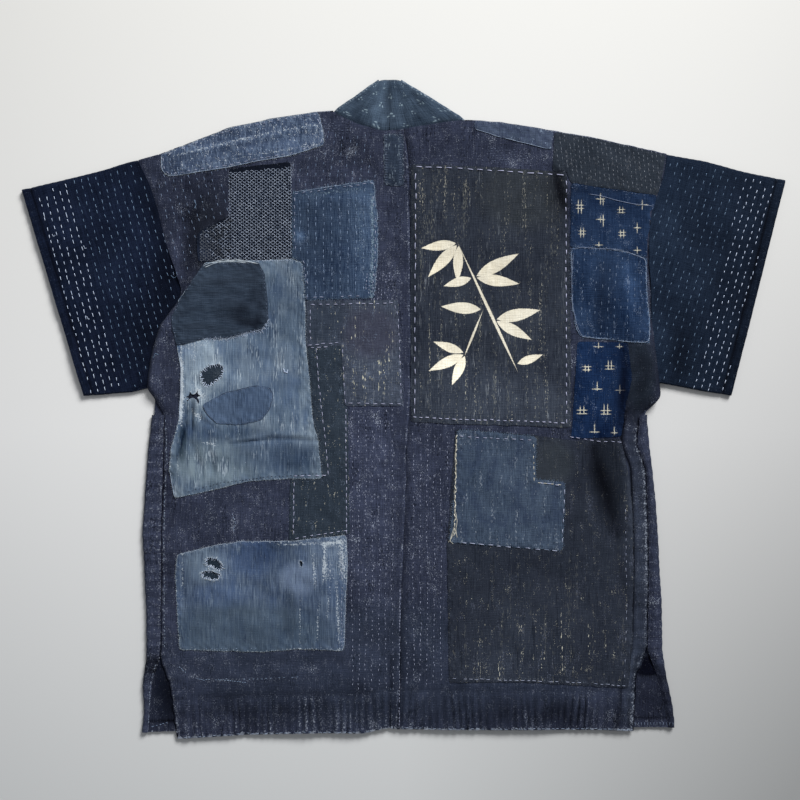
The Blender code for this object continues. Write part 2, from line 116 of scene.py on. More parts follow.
VIEW_CENTRE = (-4.4 * MM, 11.9 * MM)
VIEW_WIDTH = 1.0  # of the frame, at the height of the cloth
CLOTH_HEIGHT = 5 * MM
LENS, SENSOR = 50.0, 36.0
camera = bpy.data.objects.new("camera", bpy.data.cameras.new("camera"))
camera.data.lens, camera.data.sensor_width = LENS, SENSOR
camera.location = (*VIEW_CENTRE, CLOTH_HEIGHT + VIEW_WIDTH * LENS / SENSOR)
bpy.context.scene.collection.objects.link(camera)
bpy.context.scene.camera = camera

TABLE_SIZE = 14.0
BELOW_CLOTH = -0.4 * MM  # keeps the board's top clear of the cloth's underside
bpy.ops.mesh.primitive_plane_add(size=TABLE_SIZE, location=(0, 0, BELOW_CLOTH))
table = bpy.context.object
table.name = "table"
board, tree, shader = new_material("painted board")
place = shader_node(tree, "TexCoord").outputs["Object"]
axes = axes_of(tree, place)
# Painted shade: the board's colour darkens towards the bottom, towards both sides and into the lower right
# corner, standing in for the light's fall-off.
board_falloff_ramp = ramp(tree, ranged(tree, axes["Y"], -0.55, 0.5),
    [(0.0, linear(195, 197, 197)), (0.5, linear(223, 223, 222)), (1.0, linear(219, 218, 214))])
off_middle = maths(tree, "ABSOLUTE", maths(tree, "SUBTRACT", axes["X"], -0.15))
across = maths(tree, "MULTIPLY_ADD", maths(tree, "POWER", off_middle, 2.0), -0.44, 1.0)
corner = maths(tree, "MULTIPLY", ranged(tree, axes["X"], 0.0, 0.55), ranged(tree, axes["Y"], 0.3, -0.5))
across = maths(tree, "MULTIPLY", across, maths(tree, "MULTIPLY_ADD", corner, -0.45, 1.0))
falloff_shaded_board = vectors(tree, "SCALE", board_falloff_ramp, maths(tree, "MAXIMUM", across, 0.5))
tree.links.new(falloff_shaded_board, shader["Base Color"])
shader["Roughness"].default_value = 0.6
table.data.materials.append(board)


def softbox(name, location, size, power):
    """A rectangular lamp that faces the jacket."""
    light = bpy.data.lights.new(name, "AREA")
    light.shape, light.size, light.size_y, light.energy = "RECTANGLE", size[0], size[1], power
    lamp = bpy.data.objects.new(name, light)
    lamp.location = location
    lamp.rotation_euler = (-Vector(location)).to_track_quat("-Z", "Y").to_euler()
    bpy.context.scene.collection.objects.link(lamp)


softbox("window", (2.2, 3.9, 2.7), (2.6, 1.8), 445.0)
world = bpy.data.worlds.new("room")
world.use_nodes = True
walls = world.node_tree.nodes["Background"].inputs
walls["Color"].default_value = (0.92, 0.95, 1.0, 1.0)
walls["Strength"].default_value = 0.30
bpy.context.scene.world = world
bpy.context.scene.view_settings.view_transform = "Standard"


# ---------------- the two body halves
# Each half is one narrow loom width of purple-navy cotton, quilted to older cloth under it. It runs
# from the front hem over the shoulder to the back hem, wraps round the side to a seam on the back,
# and is slit at the hem. The halves are sewn together down the middle of the back.

CLOTH = 2.0 * MM
FOLD_REACH = 2.65 * MM  # how far a fold stands out past the line that it is folded on
SEAM_HALF = 0.15 * MM  # half the gap between two pieces that are sewn together
PITCH = 3.0 * MM  # between the points of the fine cloth
FORM_PITCH = 4.0 * MM


def in_mm(rows):
    """A table given in millimetres."""
    return MM * np.array(rows, float)


# One row for each height: the centre seam's height and place
CENTRE_SEAM = in_mm([(350.5, 0.6), (306, 5.6), (265, 6.2), (230, 6.8), (197, 7.2), (166, 7.7), (142, 8),
    (112, 8), (74, 8), (33, 7.9), (15, 7), (-4, 6), (-50, 3.5), (-86, 2.3), (-138, 0.7), (-194, -2),
    (-245, -3.8), (-306, -5.5), (-340, -6.4), (-376, -7.4), (-399.5, -8.1)])


def side_rows(rows):
    """A table down one side in metres: height and edge of the back, height and edge of the front, and
    where the cloth that wraps round the side ends, which is the edge of the front where none does.
    Each row gives height and edge in mm and, where they differ in front, its edge, that end and its
    height."""
    whole = []
    for height, edge, *front in rows:
        front_edge, end, front_height = [*(front or (edge, edge)), height][:3]
        whole.append((height, edge, front_height, front_edge, end))
    return in_mm(whole)


SIDES = {"left": side_rows([(312, -332), (281, -317), (250, -307), (212, -298), (180, -287), (149, -277),
    (134, -282, -279, -279), (106, -304, -289, -289), (62, -317, -304, -304), (27, -320.5, -316, -316),
    (14, -311), (-4, -299.5, -314.5, -299.5), (-58, -300.5, -320.5, -300.5), (-97, -301.5, -323, -301.5),
    (-154, -303, -327, -303), (-202, -303, -324.5, -303), (-250, -303, -322, -303),
    (-311, -304.5, -322, -304.5), (-346, -292, -327, -315, -343), (-387, -287, -325.5, -318, -378),
    (-412, -283, -328, -320, -404)]),
    "right": side_rows([(319.5, 329.5), (293, 325.5), (270.5, 318), (245.5, 309.5), (213, 307), (182, 307),
        (149, 309.5), (118, 309.5), (85.5, 312), (38, 318), (14, 321), (-4.5, 295.5, 304, 295.5),
        (-43, 292, 307, 292), (-74, 303, 311, 303), (-122, 305.5, 316.5, 305.5), (-186, 307, 320, 307),
        (-240, 306.5, 323, 306.5), (-300.5, 305.5, 324, 305.5), (-333, 292, 329, 317, -331),
        (-368, 290, 337, 327), (-402, 287, 340.5, 331, -398)])}
WRAP_ROW = 11  # the rows from here down wrap round the side
NECK = {"left": in_mm([(0.6, 350.5), (-27, 348), (-58, 356.5), (-88, 372)]),
    "right": in_mm([(0.6, 350.5), (27, 355), (53, 359.5), (77, 362)])}
SHOULDER = {"left": in_mm([(-88, 375), (-112, 373), (-167, 364.5), (-219, 353), (-270.5, 333),
    (-304.5, 319.5), (-332, 312)]),
    "right": in_mm([(77, 363), (123, 360.5), (187, 349.5), (250.5, 338), (298, 327), (329.5, 319.5)])}
BACK_HEM = {"left": in_mm([(-8.1, -399.5), (-23, -398.5), (-48, -404.5), (-117, -404.5), (-204, -407),
    (-283, -412)]),
    "right": in_mm([(-8.1, -399.5), (70, -400.5), (245, -400.5), (287, -402)])}
FRONT_HEM_Y = -396 * MM
COLLAR_SEAM = in_mm([(255, 64), (100, 62.5), (-396, 62.5)])
OUT = {"left": -1, "right": 1}


def form_of(node, facing=1):
    """The height of a solid's top, or of its underside if facing is -1, on a grid, smoothed. Past its
    edge the height stays as it is at the edge."""
    solid = BVHTree.FromObject(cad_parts[node], bpy.context.evaluated_depsgraph_get())
    low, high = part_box(node)
    xs = np.arange(low[0] - 0.02, high[0] + 0.02, FORM_PITCH)
    ys = np.arange(low[1] - 0.02, high[1] + 0.02, FORM_PITCH)
    heights = np.full((len(ys), len(xs)), np.nan)
    down = Vector((0, 0, -facing))
    for i, y in enumerate(ys):
        for j, x in enumerate(xs):
            hit = solid.ray_cast(Vector((x, y, 0.2 * facing)), down)[0]
            if hit is not None:
                heights[i, j] = hit.z
    while np.isnan(heights).any():
        padded = np.pad(heights, 1, constant_values=np.nan)
        near = np.stack([padded[1 + a:padded.shape[0] - 1 + a, 1 + b:padded.shape[1] - 1 + b]
                         for a in (-1, 0, 1) for b in (-1, 0, 1)])
        known = ~np.isnan(near)
        total = np.where(known, near, 0).sum(0)
        filled = total / np.maximum(known.sum(0), 1)
        heights = np.where(np.isnan(heights) & known.any(0), filled, heights)
    reach = np.arange(-6, 7)
    kernel = np.exp(-(reach / 2.6) ** 2 / 2)
    kernel /= kernel.sum()
    for axis in (0, 1):
        wide = np.pad(heights, [(6, 6) if axis == a else (0, 0) for a in (0, 1)], mode="edge")
        heights = np.apply_along_axis(lambda line: np.convolve(line, kernel, "valid"), axis, wide)
    return xs[0], ys[0], heights


def height_on(form, x, y):
    """The height of a form at these places."""
    x0, y0, heights = form
    u = np.clip((x - x0) / FORM_PITCH, 0, heights.shape[1] - 1.001)
    v = np.clip((y - y0) / FORM_PITCH, 0, heights.shape[0] - 1.001)
    i, j = v.astype(int), u.astype(int)
    fu, fv = u - j, v - i
    return ((heights[i, j] * (1 - fu) + heights[i, j + 1] * fu) * (1 - fv)
            + (heights[i + 1, j] * (1 - fu) + heights[i + 1, j + 1] * fu) * fv)


def sway(x, y, length, seed):
    """Soft uneven waves about this long, from about -1 to 1."""
    waves = 7
    draw = np.random.default_rng(seed)
    total = 0.0
    for _ in range(waves):
        angle, phase = draw.uniform(0, 2 * math.pi, 2)
        turn = 2 * math.pi / length * draw.uniform(0.6, 1.5)
        total += np.sin(turn * (x * math.cos(angle) + y * math.sin(angle)) + phase)
    return total / math.sqrt(waves)


def ripples(distance, period):
    """Even waves from -1 to 1, this far from crest to crest."""
    return np.sin(2 * math.pi * distance / period)


def bump_at(distance, width):
    """1 where a distance is nought, falling off softly over this width."""
    return np.exp(-(distance / width) ** 2)


def step_between(value, low, high):
    """0 up to low and 1 from high on, with a soft step between."""
    share = np.clip((value - low) / (high - low), 0, 1)
    return share * share * (3 - 2 * share)


def eased(values, places, wanted, soften=2):
    """A table's columns read at these places, with its corners eased."""
    fine = np.stack([np.interp(wanted, places, column) for column in np.atleast_2d(values.T)], 1)
    for _ in range(soften):
        fine[1:-1] = (fine[:-2] + 2 * fine[1:-1] + fine[2:]) / 4
    return fine


def lengths_along(line):
    """How far along a line of points each of them is."""
    return np.concatenate([[0], np.cumsum(np.linalg.norm(np.diff(line, axis=0), axis=1))])


def filled_in(inner, outer, top, bottom, across, down):
    """A grid of places between four border lines, as rows of points."""
    u, v = across[None, :, None], down[:, None, None]
    sides = inner[:, None] * (1 - u) + outer[:, None] * u
    ends = top[None] * (1 - v) + bottom[None] * v
    corners = (top[0] * (1 - u) + top[-1] * u) * (1 - v) + (bottom[0] * (1 - u) + bottom[-1] * u) * v
    return sides + ends - corners


def round_fold(upper, lower, out, steps=5):
    """Rows of points round a fold, between its upper and its lower edge. out is square to the fold."""
    rows = []
    for turn in np.linspace(0, math.pi, steps + 1)[1:-1]:
        radius = (upper[:, 2:] - lower[:, 2:]) / 2
        middle = (upper + lower) / 2
        lifted = np.concatenate([out * radius * math.sin(turn), radius * math.cos(turn)], 1)
        rows.append(middle + lifted)
    return rows


def square_to(line, away):
    """Directions in the plane, square to a line of points and away from a place."""
    along = np.gradient(line[:, :2], axis=0)
    normal = np.stack([-along[:, 1], along[:, 0]], 1)
    normal /= np.linalg.norm(normal, axis=1)[:, None]
    side = np.sign(((line[:, :2] - np.array(away)) * normal).sum(1))
    return normal * side[:, None]


class Sheet:
    """Rows of points skinned into one cloth mesh, with the cloth's own measure across and along."""

    def __init__(self):
        self.points, self.faces, self.cloth, self.wear, self.tone = [], [], [], [], []
        self.count = 0

    def add(self, rows, cloth, wear=0.0, tone=0.0, closed=False):
        """Add a grid of points, with its places on the flat cloth, how worn it is and its tone. A
        closed grid's last point in each row is joined to its first."""
        rows = np.asarray(rows)
        n, m = rows.shape[:2]
        index = np.arange(n * m).reshape(n, m) + self.count
        nxt = np.roll(index, -1, 1) if closed else index[:, 1:]
        here = index if closed else index[:, :-1]
        quads = np.stack([here[:-1], here[1:], nxt[1:], nxt[:-1]], -1).reshape(-1, 4)
        self.points.append(rows.reshape(-1, 3))
        self.cloth.append(np.broadcast_to(cloth, (n, m, 2)).reshape(-1, 2))
        self.wear.append(np.broadcast_to(wear, (n, m)).ravel())
        self.tone.append(np.broadcast_to(tone, (n, m)).ravel())
        self.faces.append(quads)
        self.count += n * m

    def parts(self):
        """The arguments that cloth_piece takes after its name."""
        lists = (self.points, self.faces, self.cloth, self.wear, self.tone)
        return [np.concatenate(part) for part in lists]


def cloth_piece(name, points, faces, cloth, wear, tone, thickness, material, offset=0.0):
    """A piece of cloth: the skin of its points and faces, welded and given its thickness and material.
    None of it goes below the table. The thickness lies on both sides of the skin, or below it if
    offset is -1."""
    points = points.copy()
    points[:, 2] = np.maximum(points[:, 2], (1 - offset) / 2 * thickness)
    mesh = bpy.data.meshes.new(name)
    mesh.from_pydata(points.tolist(), [], faces.tolist() if hasattr(faces, "tolist") else faces)
    measure = mesh.attributes.new("cloth", "FLOAT2", "POINT")
    measure.data.foreach_set("vector", np.ascontiguousarray(cloth, np.float32).ravel())
    for attribute, values in (("wear", wear), ("tone", tone)):
        made = mesh.attributes.new(attribute, "FLOAT", "POINT")
        made.data.foreach_set("value", np.ascontiguousarray(values, np.float32))
    obj = bpy.data.objects.new(name, mesh)
    bpy.context.scene.collection.objects.link(obj)
    weld = obj.modifiers.new("weld", "WELD")
    weld.merge_threshold = 1e-5
    wall = obj.modifiers.new("thickness", "SOLIDIFY")
    wall.thickness, wall.offset = thickness, offset
    solid = bpy.data.meshes.new_from_object(obj.evaluated_get(bpy.context.evaluated_depsgraph_get()))
    obj.modifiers.clear()
    obj.data = solid
    solid.name = name
    bpy.data.meshes.remove(mesh)
    solid.shade_smooth()
    solid.set_sharp_from_angle(angle=math.radians(50))
    solid.materials.clear()
    solid.materials.append(material)
    return obj


def on_the_table(obj, node):
    """State that this piece shows what a solid stands for, and that it is a cloth laid flat."""
    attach(obj, "root")
    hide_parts(node)


def node_group(name, places, numbers, outputs):
    """A new node group that takes these named vectors and numbers and gives these numbers: its tree,
    the sockets that it takes and the sockets that it gives."""
    tree = bpy.data.node_groups.new(name, "ShaderNodeTree")
    for names, way, kind in ((places, "INPUT", "Vector"), (numbers, "INPUT", "Float"),
                             (outputs, "OUTPUT", "Float")):
        for socket in names.split():
            tree.interface.new_socket(socket, in_out=way, socket_type="NodeSocket" + kind)
    return tree, tree.nodes.new("NodeGroupInput").outputs, tree.nodes.new("NodeGroupOutput").inputs


def stretched_noise(tree, vector, scale, detail=2.0, rough=0.5):
    """Noise on a vector first scaled by a different number along each axis."""
    links = {"Vector": vectors(tree, "MULTIPLY", vector, scale), "Scale": 1.0, "Detail": detail,
             "Roughness": rough}
    return shader_node(tree, "TexNoise", links, noise_dimensions="2D").outputs["Fac"]


def shaken(tree, cloth, scale, reach):
    """The cloth's places, shifted a little this way and that, which makes lines and edges uneven."""
    links = {"Vector": cloth, "Scale": scale, "Detail": 2.0}
    noise = shader_node(tree, "TexNoise", links, noise_dimensions="2D").outputs["Color"]
    shift = vectors(tree, "SCALE", vectors(tree, "ADD", noise, (-0.5, -0.5, 0.0)), reach)
    return vectors(tree, "ADD", cloth, shift)


# Plain weave: threads over and under, and the uneven tone of hand-spun thread and of its dye
weave, taken, given = node_group("plain weave", "Cloth", "Pitch Uneven", "Height Warp Weft Cloud")
axes = axes_of(weave, shaken(weave, taken["Cloth"], 160.0, taken["Uneven"]))
per_metre = maths(weave, "DIVIDE", math.pi, taken["Pitch"])
warp = maths(weave, "SINE", maths(weave, "MULTIPLY", axes["X"], per_metre))
weft = maths(weave, "SINE", maths(weave, "MULTIPLY", axes["Y"], per_metre))
weave.links.new(maths(weave, "ABSOLUTE", maths(weave, "MULTIPLY", warp, weft)), given["Height"])
for output, scale, detail, spread in (("Warp", (820, 48, 1), 3.0, 0.2), ("Weft", (60, 820, 1), 2.0, 0.2),
                                      ("Cloud", (19, 14, 1), 5.0, 0.24)):
    grain = stretched_noise(weave, taken["Cloth"], scale, detail, 0.6)
    weave.links.new(ranged(weave, grain, 0.5 - spread, 0.5 + spread), given[output])

# Flecks: short thick places in the yarn, or worn specks, gathered in streaks
fleck, taken, given = node_group("flecks", "Cloth Fine Coarse", "Cover", "Mask")
small = stretched_noise(fleck, taken["Cloth"], taken["Fine"], 2.0, 0.6)
large = stretched_noise(fleck, taken["Cloth"], taken["Coarse"], 3.0, 0.6)
level = maths(fleck, "ADD", small, maths(fleck, "MULTIPLY", maths(fleck, "SUBTRACT", large, 0.5), 0.9))
level = maths(fleck, "ADD", level, maths(fleck, "MULTIPLY_ADD", taken["Cover"], 0.4, -0.4))
fleck.links.new(ranged(fleck, level, 0.5, 0.56), given["Mask"])


def mixed(tree, factor, first, second):
    """Two colours mixed."""
    return shader_node(tree, "Mix", {"Factor": factor, 6: first, 7: second}, data_type="RGBA").outputs[2]


def flecked(colour, fine, coarse, cover, amount):
    """A change to a cotton: flecks of this colour. fine and coarse are how many flecks, and how many
    streaks of them, there are in a metre across and along. cover is how much they take up, and amount
    how strong they are."""
    def change(tree, cloth, ground, threads):
        links = {"Cloth": cloth, "Fine": (*fine, 1), "Coarse": (*coarse, 1), "Cover": cover}
        mask = shader_node(tree, "Group", links, node_tree=fleck).outputs["Mask"]
        return mixed(tree, maths(tree, "MULTIPLY", mask, amount), ground, linear(*colour))
    return change


def only_at(change, x, y, wide, high):
    """A change kept to one soft-edged oval: its middle and half its width and height in mm."""
    def made(tree, cloth, ground, threads):
        offset = vectors(tree, "MULTIPLY_ADD", cloth, (1 / (wide * MM), 1 / (high * MM), 0.0),
                         (-x / wide, -y / high, 0.0))
        away = shader_node(tree, "VectorMath", {0: offset}, operation="LENGTH").outputs["Value"]
        mask = ranged(tree, away, 0.7, 1.15, 1.0, 0.0)
        return mixed(tree, mask, ground, change(tree, cloth, ground, threads))
    return made


def dyed(colour, amount, *oval):
    """A change to a cotton: mixed with this colour in one soft-edged oval."""
    return only_at(lambda tree, cloth, ground, threads: mixed(tree, amount, ground, linear(*colour)), *oval)


THREAD_PITCH = 0.9 * MM  # between threads
THREAD_DRIFT = 0.35 * MM  # how far they stray from straight lines


def cotton(name, dark, light, changes=(), cloud=0.4, warp=0.45, weft=0.25, worn=(150, 158, 172), wear=0.6,
           grid=1.0, fade=(1.0, 1.0, 0.95)):
    """Old cotton. dark and light are the colours between which its dye and threads vary, by how much
    cloud, warp and weft say. Its edges fade to worn. grid is how much of the weave's grid stands up,
    and fade is how much each of its colours follows the tone. Each change takes and returns the
    colour socket, to add marks."""
    made, tree, shader = new_material(name + " cotton")
    cloth, edge, shade = [shader_node(tree, "Attribute", attribute_name=kind).outputs[output]
                          for kind, output in (("cloth", "Vector"), ("wear", "Fac"), ("tone", "Fac"))]
    links = {"Cloth": cloth, "Pitch": THREAD_PITCH, "Uneven": THREAD_DRIFT}
    out = shader_node(tree, "Group", links, node_tree=weave).outputs
    tone = 0.5
    for output, share in (("Cloud", cloud), ("Warp", warp), ("Weft", weft)):
        tone = maths(tree, "MULTIPLY_ADD", maths(tree, "SUBTRACT", out[output], 0.5), share, tone)
    colour = mixed(tree, tone, linear(*dark), linear(*light))
    for change in changes:
        colour = change(tree, cloth, colour, out)
    # The tone attribute brightens or darkens the colour: it holds the cloth's fading and also painted shade
    # and highlight on folds, grooves and edges.
    gain = vectors(tree, "MULTIPLY_ADD", shade, fade, (1.0, 1.0, 1.0))
    colour = vectors(tree, "MULTIPLY", colour, vectors(tree, "MAXIMUM", gain, (0.04, 0.05, 0.1)))
    grain = stretched_noise(tree, cloth, (520, 430, 1), 3.0, 0.7)
    rubbed = ranged(tree, maths(tree, "MULTIPLY_ADD", edge, 0.42, grain), 0.7, 0.86, 0.0, wear)
    tree.links.new(mixed(tree, rubbed, colour, linear(*worn)), shader["Base Color"])
    height = maths(tree, "MULTIPLY_ADD", out["Warp"], 0.8, maths(tree, "MULTIPLY", out["Height"], grid))
    height = maths(tree, "MULTIPLY_ADD", out["Weft"], 0.8 * grid, height)
    bumped = shader_node(tree, "Bump", {"Height": height, "Strength": 0.7, "Distance": 0.4 * MM})
    tree.links.new(bumped.outputs[0], shader["Normal"])
    shader["Roughness"].default_value = 0.93
    shader["Specular IOR Level"].default_value = 0.06
    shader["Sheen Weight"].default_value = 0.08
    shader["Sheen Roughness"].default_value = 0.3
    shader["Sheen Tint"].default_value = (0.55, 0.65, 0.85, 1.0)
    return made


body_cotton = cotton("purple navy", (25, 30, 44), (63, 69, 90), worn=(154, 162, 176), wear=0.75, cloud=0.3,
    fade=(1.0, 0.99, 0.96),
    changes=[flecked((124, 130, 146), (760, 560), (200, 90), 0.5, 0.56),
        flecked((156, 164, 178), (700, 620), (40, 30), 0.34, 0.66),
        flecked((12, 16, 26), (640, 240), (60, 22), 0.54, 0.68), dyed((38, 49, 59), 0.85, -242, 42, 24, 22),
        dyed((34, 47, 58), 0.85, -240, -198, 22, 22), dyed((30, 42, 54), 0.8, -127, -192, 9, 11),
        dyed((46, 57, 68), 0.6, 293, 45, 22, 50), dyed((44, 48, 56), 0.4, -238, 210, 30, 60),
        dyed((50, 58, 68), 0.4, 300, -220, 36, 230), dyed((48, 58, 74), 0.35, 0, -320, 330, 80),
        dyed((22, 30, 48), 0.6, -297, 955, 19, 64)])


def collar_seam_x(side, y):
    """Where the collar is sewn to a front, at these heights."""
    neck_x, neck_y = SHOULDER[side][0]
    ys = np.concatenate([[neck_y - FOLD_REACH], COLLAR_SEAM[:, 0]])[::-1]
    xs = np.concatenate([[abs(neck_x)], COLLAR_SEAM[:, 1]])[::-1]
    return OUT[side] * np.interp(y, ys, xs)


HEM_RIPPLE, SIDE_PUCKER = 8.8 * MM, 13.5 * MM  # from crest to crest
HEM_SEWN = 49 * MM  # from the back's hem to its stitching


def back_relief(side, x, y, from_seam, from_side, from_hem):
    """Crumple, seams, puckers and the rippled hem of the cloth on the back, in metres, and how far the
    crests of the puckers and ripples are rubbed pale, which also stands as painted highlight on them. In
    here heights are in mm and distances in metres."""
    seed = seed_of(side)
    relief = 0.5 * sway(x, y, 0.07, seed) + 0.28 * sway(x, y, 0.024, seed + 1)
    relief += creased(x, y, CREASES[side])
    below_arm = step_between(-y, -0.01, 0.02)
    if side == "left":
        relief += 0.5 * bump_at(from_seam - 0.0015, 0.0022)
        lap = step_between(y, 0.0, 0.03) * step_between(-y, -0.15, -0.11)
        relief += lap * (2.2 * bump_at(from_side - 0.008, 0.008) - 3.2 * bump_at(from_side, 0.0022))
        relief -= 1.9 * bump_at(x + 0.0165, 0.0024) * step_between(-y, 0.30, 0.32)
    else:
        relief -= 1.1 * bump_at(from_seam - 0.003, 0.0022)
        relief += 0.4 * bump_at(from_seam - 0.011, 0.004)
        sewn = below_arm * step_between(y, -0.30, -0.28)
        relief -= 2.2 * bump_at(from_side - 0.02, 0.0024) * sewn
        relief += 0.7 * bump_at(from_side - 0.0150, 0.003) * below_arm
    ripple = ripples(x + 0.0022 * sway(x, y * 0.3, 0.05, seed + 2), HEM_RIPPLE)
    ripple *= 0.6 + 0.4 * sway(x, y * 0.2, 0.05, seed + 3)
    hem_band = step_between(-from_hem, -0.052, -0.035)
    relief += 1.05 * ripple * hem_band
    relief -= 0.7 * bump_at(from_hem - HEM_SEWN, 0.003)
    relief -= 0.6 * step_between(-from_hem, -0.003, 0.0)
    pucker = ripples(y + 0.003 * sway(x, y, 0.04, seed + 4), SIDE_PUCKER)
    relief += 0.55 * pucker * bump_at(from_side, 0.014) * below_arm
    relief -= 0.7 * bump_at(from_side, 0.003)
    rows = bump_at(from_hem - 0.044, 0.008) + bump_at(from_hem - 0.012, 0.014)
    # Crests rubbed pale: wear, and also painted highlight on the ripples and puckers.
    rubbed = (0.6 if side == "left" else 0.28) * np.clip(ripple, 0, 1) * hem_band * rows
    rubbed += 0.2 * np.clip(pucker, 0, 1) * bump_at(from_side, 0.016) * below_arm
    return relief * MM, rubbed


def soft_spots(x, y, spots):
    """The sum of soft round spots, each given as x, y, its two half widths in mm, and its amount."""
    total = np.zeros_like(x)
    for sx, sy, wide, high, amount in spots:
        total += amount * np.exp(-((x / MM - sx) / wide) ** 2 - ((y / MM - sy) / high) ** 2)
    return total


# Where the cloth is paler, or deeper if the amount is below 0: soft spots on the back. The paler ones are
# its fading; the deeper ones are painted shade by the armholes, along the hem, between the patches and by
# the collar.
BODY_TONES_AND_SHADE = [(-235, 230, 45, 110, -0.45), (-268, 265, 40, 36, -0.2), (-170, -375, 150, 30, -0.42),
    (-190, -340, 110, 34, -0.1), (150, -375, 150, 24, -0.2), (0, -290, 60, 70, -0.2),
    (-270, -350, 40, 40, 0.2), (160, -385, 150, 22, -0.4), (-45, -80, 34, 160, 0.42),
    (230, 0, 40, 60, -0.25), (300, 45, 30, 60, -0.5), (-80, 320, 60, 20, -0.1), (0, 320, 5, 36, -0.3),
    (262, 22, 14, 60, -0.3), (-190, -130, 70, 25, 0.05), (-30, -120, 10, 180, 0.15),
    (30, -150, 26, 140, 0.12), (90, 325, 70, 22, -0.2), (-300, 60, 24, 60, -0.2),
    (300, -100, 14, 200, -0.1), (-264, 17, 14, 9, -0.6), (-215, 165, 70, 40, -0.3),
    (290, -60, 20, 100, -0.2)]
# Where the surface is rubbed pale
WORN_SPOTS = {"left": [(-3, 200, 2.5, 90, 0.12), (-30, 290, 20, 50, 0.12), (-213, -142, 5, 18, 0.55),
    (-20, 150, 14, 60, 0.22), (-15, -180, 10, 120, 0.2), (-274, -324, 8, 5, 0.5), (-262, -333, 12, 3, 0.55),
    (-225, -339, 34, 2.5, 0.5), (-150, -337, 60, 3, 0.3), (-100, -378, 70, 22, 0.12),
    (-90, 322, 50, 22, 0.2), (-60, 180, 14, 10, 0.25), (-244, -134, 5, 24, 0.3)],
    "right": [(300, -150, 8, 90, 0.2), (60, 318, 60, 14, 0.15), (30, -120, 30, 120, 0.12)]}
# The main creases: from x, y to x, y, half width and height, in mm; a trough has a height below 0
CREASES = {"left": [(-262, 245, -277, 140, 9, -2.0), (-285, 225, -290, 150, 9, 1.5),
    (-264, 8, -264, -30, 3, -2.2), (-269, -2, -284, -63, 3.5, -2.8), (-275, 20, -290, -52, 4, 1.6),
    (-258, 10, -262, -40, 4, 1.2), (-214, -40, -158, -30, 3, 0.9), (-158, -30, -104, -33, 3, 0.9),
    (-218, -42, -158, -36, 1.9, -2.0), (-158, -36, -104, -39, 1.7, -1.7), (-262, -45, -250, -85, 3, -1.4),
    (-270, 6, -273, -20, 1.7, -1.6), (-273, -20, -282, -50, 1.8, -2.1), (-264, 3, -263, -26, 1.5, -1.3),
    (-282, -50, -285, -66, 1.8, -1.3), (-256, 0, -246, -30, 3, -1.0), (-238, -56, -236, -84, 2.4, -1.1),
    (-222, -60, -224, -80, 2.2, -1.0), (-196, -56, -198, -78, 2.4, -1.0), (-255, -10, -225, -28, 3, -1.5),
    (-205, -58, -212, -84, 4, -0.8), (-250, -8, -214, -36, 3, 0.9), (-270, -50, -262, -88, 2.5, 0.9),
    (-246, -30, -238, -80, 3, -1.0), (-130, 140, -134, 20, 5, -0.6), (-218, 118, -184, 98, 6, -1.8),
    (-176, 152, -184, 104, 5, -1.6), (-198, 132, -176, 118, 6, 1.0), (-240, 130, -200, 145, 9, 0.9),
    (-34, -88, -34, -238, 3, -0.6), (-250, -130, -150, -140, 12, 0.8), (-290, 317, -106, 355, 3.0, 1.0),
    (-290, 310, -106, 347, 4, -0.6), (-228, 150, -196, 140, 7, -0.9), (-208, 120, -178, 150, 8, -1.0),
    (-225, 235, -250, 200, 9, -1.4), (-60, 330, -30, 290, 10, -0.8), (-252, 160, -190, 165, 2.6, 0.7),
    (-255, 143, -200, 146, 2.6, -0.7), (-248, 126, -205, 130, 2.6, 0.6), (-250, 112, -215, 116, 3, -0.5),
    (-160, 250, -150, 200, 8, -0.7), (-295, -60, -292, -260, 6, -0.8), (-180, -325, -60, -330, 9, 0.8),
    (-120, 260, -128, 190, 7, -0.6), (-100, -270, -190, -215, 14, -0.7)],
    "right": [(187, 300, 206, 240, 7, -2.6), (205, 210, 206, 120, 5, -1.0), (238, -50, 266, -155, 9, -2.6),
        (218, -60, 240, -160, 8, 1.2), (277, -70, 287, -165, 7, 1.6), (265, -160, 280, -260, 6, -0.9),
        (247, 182, 242, 105, 9, -2.0), (277, 178, 284, 110, 8, 1.6), (276, 80, 271, -20, 6, -1.8),
        (150, -190, 216, -226, 12, -0.9), (60, 330, 150, 322, 10, -0.7), (95, 90, 150, 20, 16, -0.8),
        (30, 250, 26, 120, 9, 0.7), (120, -250, 180, -330, 14, 0.8), (40, -60, 36, -300, 7, -0.5),
        (296, -230, 292, -300, 6, -0.9), (305, -300, 291, -315, 4, -2.4), (291, -315, 286, -350, 4, -2.0),
        (307, -305, 297, -320, 2.4, 1.4), (297, -320, 293, -348, 2.4, 0.9), (230, 330, 300, 290, 10, 0.8),
        (215, 270, 290, 235, 10, -0.7)]}
# Painted shadow on the front's cloth that shows in the slits, where the back's edge shades it, given as
# soft spots in the same way
SLIT_SHADOWS = [(305, -316, 13, 12, -0.8), (306, -329, 14, 3.5, -0.8), (310, -360, 22, 24, -0.12),
    (-291, -370, 9, 50, -0.3), (-300, -348, 14, 30, -0.3)]


def creased(x, y, creases):
    """The height in mm that creases give, each one fading out at its ends."""
    total = np.zeros_like(x)
    for x0, y0, x1, y1, wide, height in creases:
        dx, dy = x1 - x0, y1 - y0
        share = ((x / MM - x0) * dx + (y / MM - y0) * dy) / (dx * dx + dy * dy)
        held = np.clip(share, 0, 1)
        away = np.hypot(x / MM - x0 - held * dx, y / MM - y0 - held * dy)
        fade = 0.45 + 0.55 * np.sin(math.pi * np.clip(share * 0.8 + 0.1, 0, 1))
        total += height * np.exp(-(away / wide) ** 2) * fade
    return total


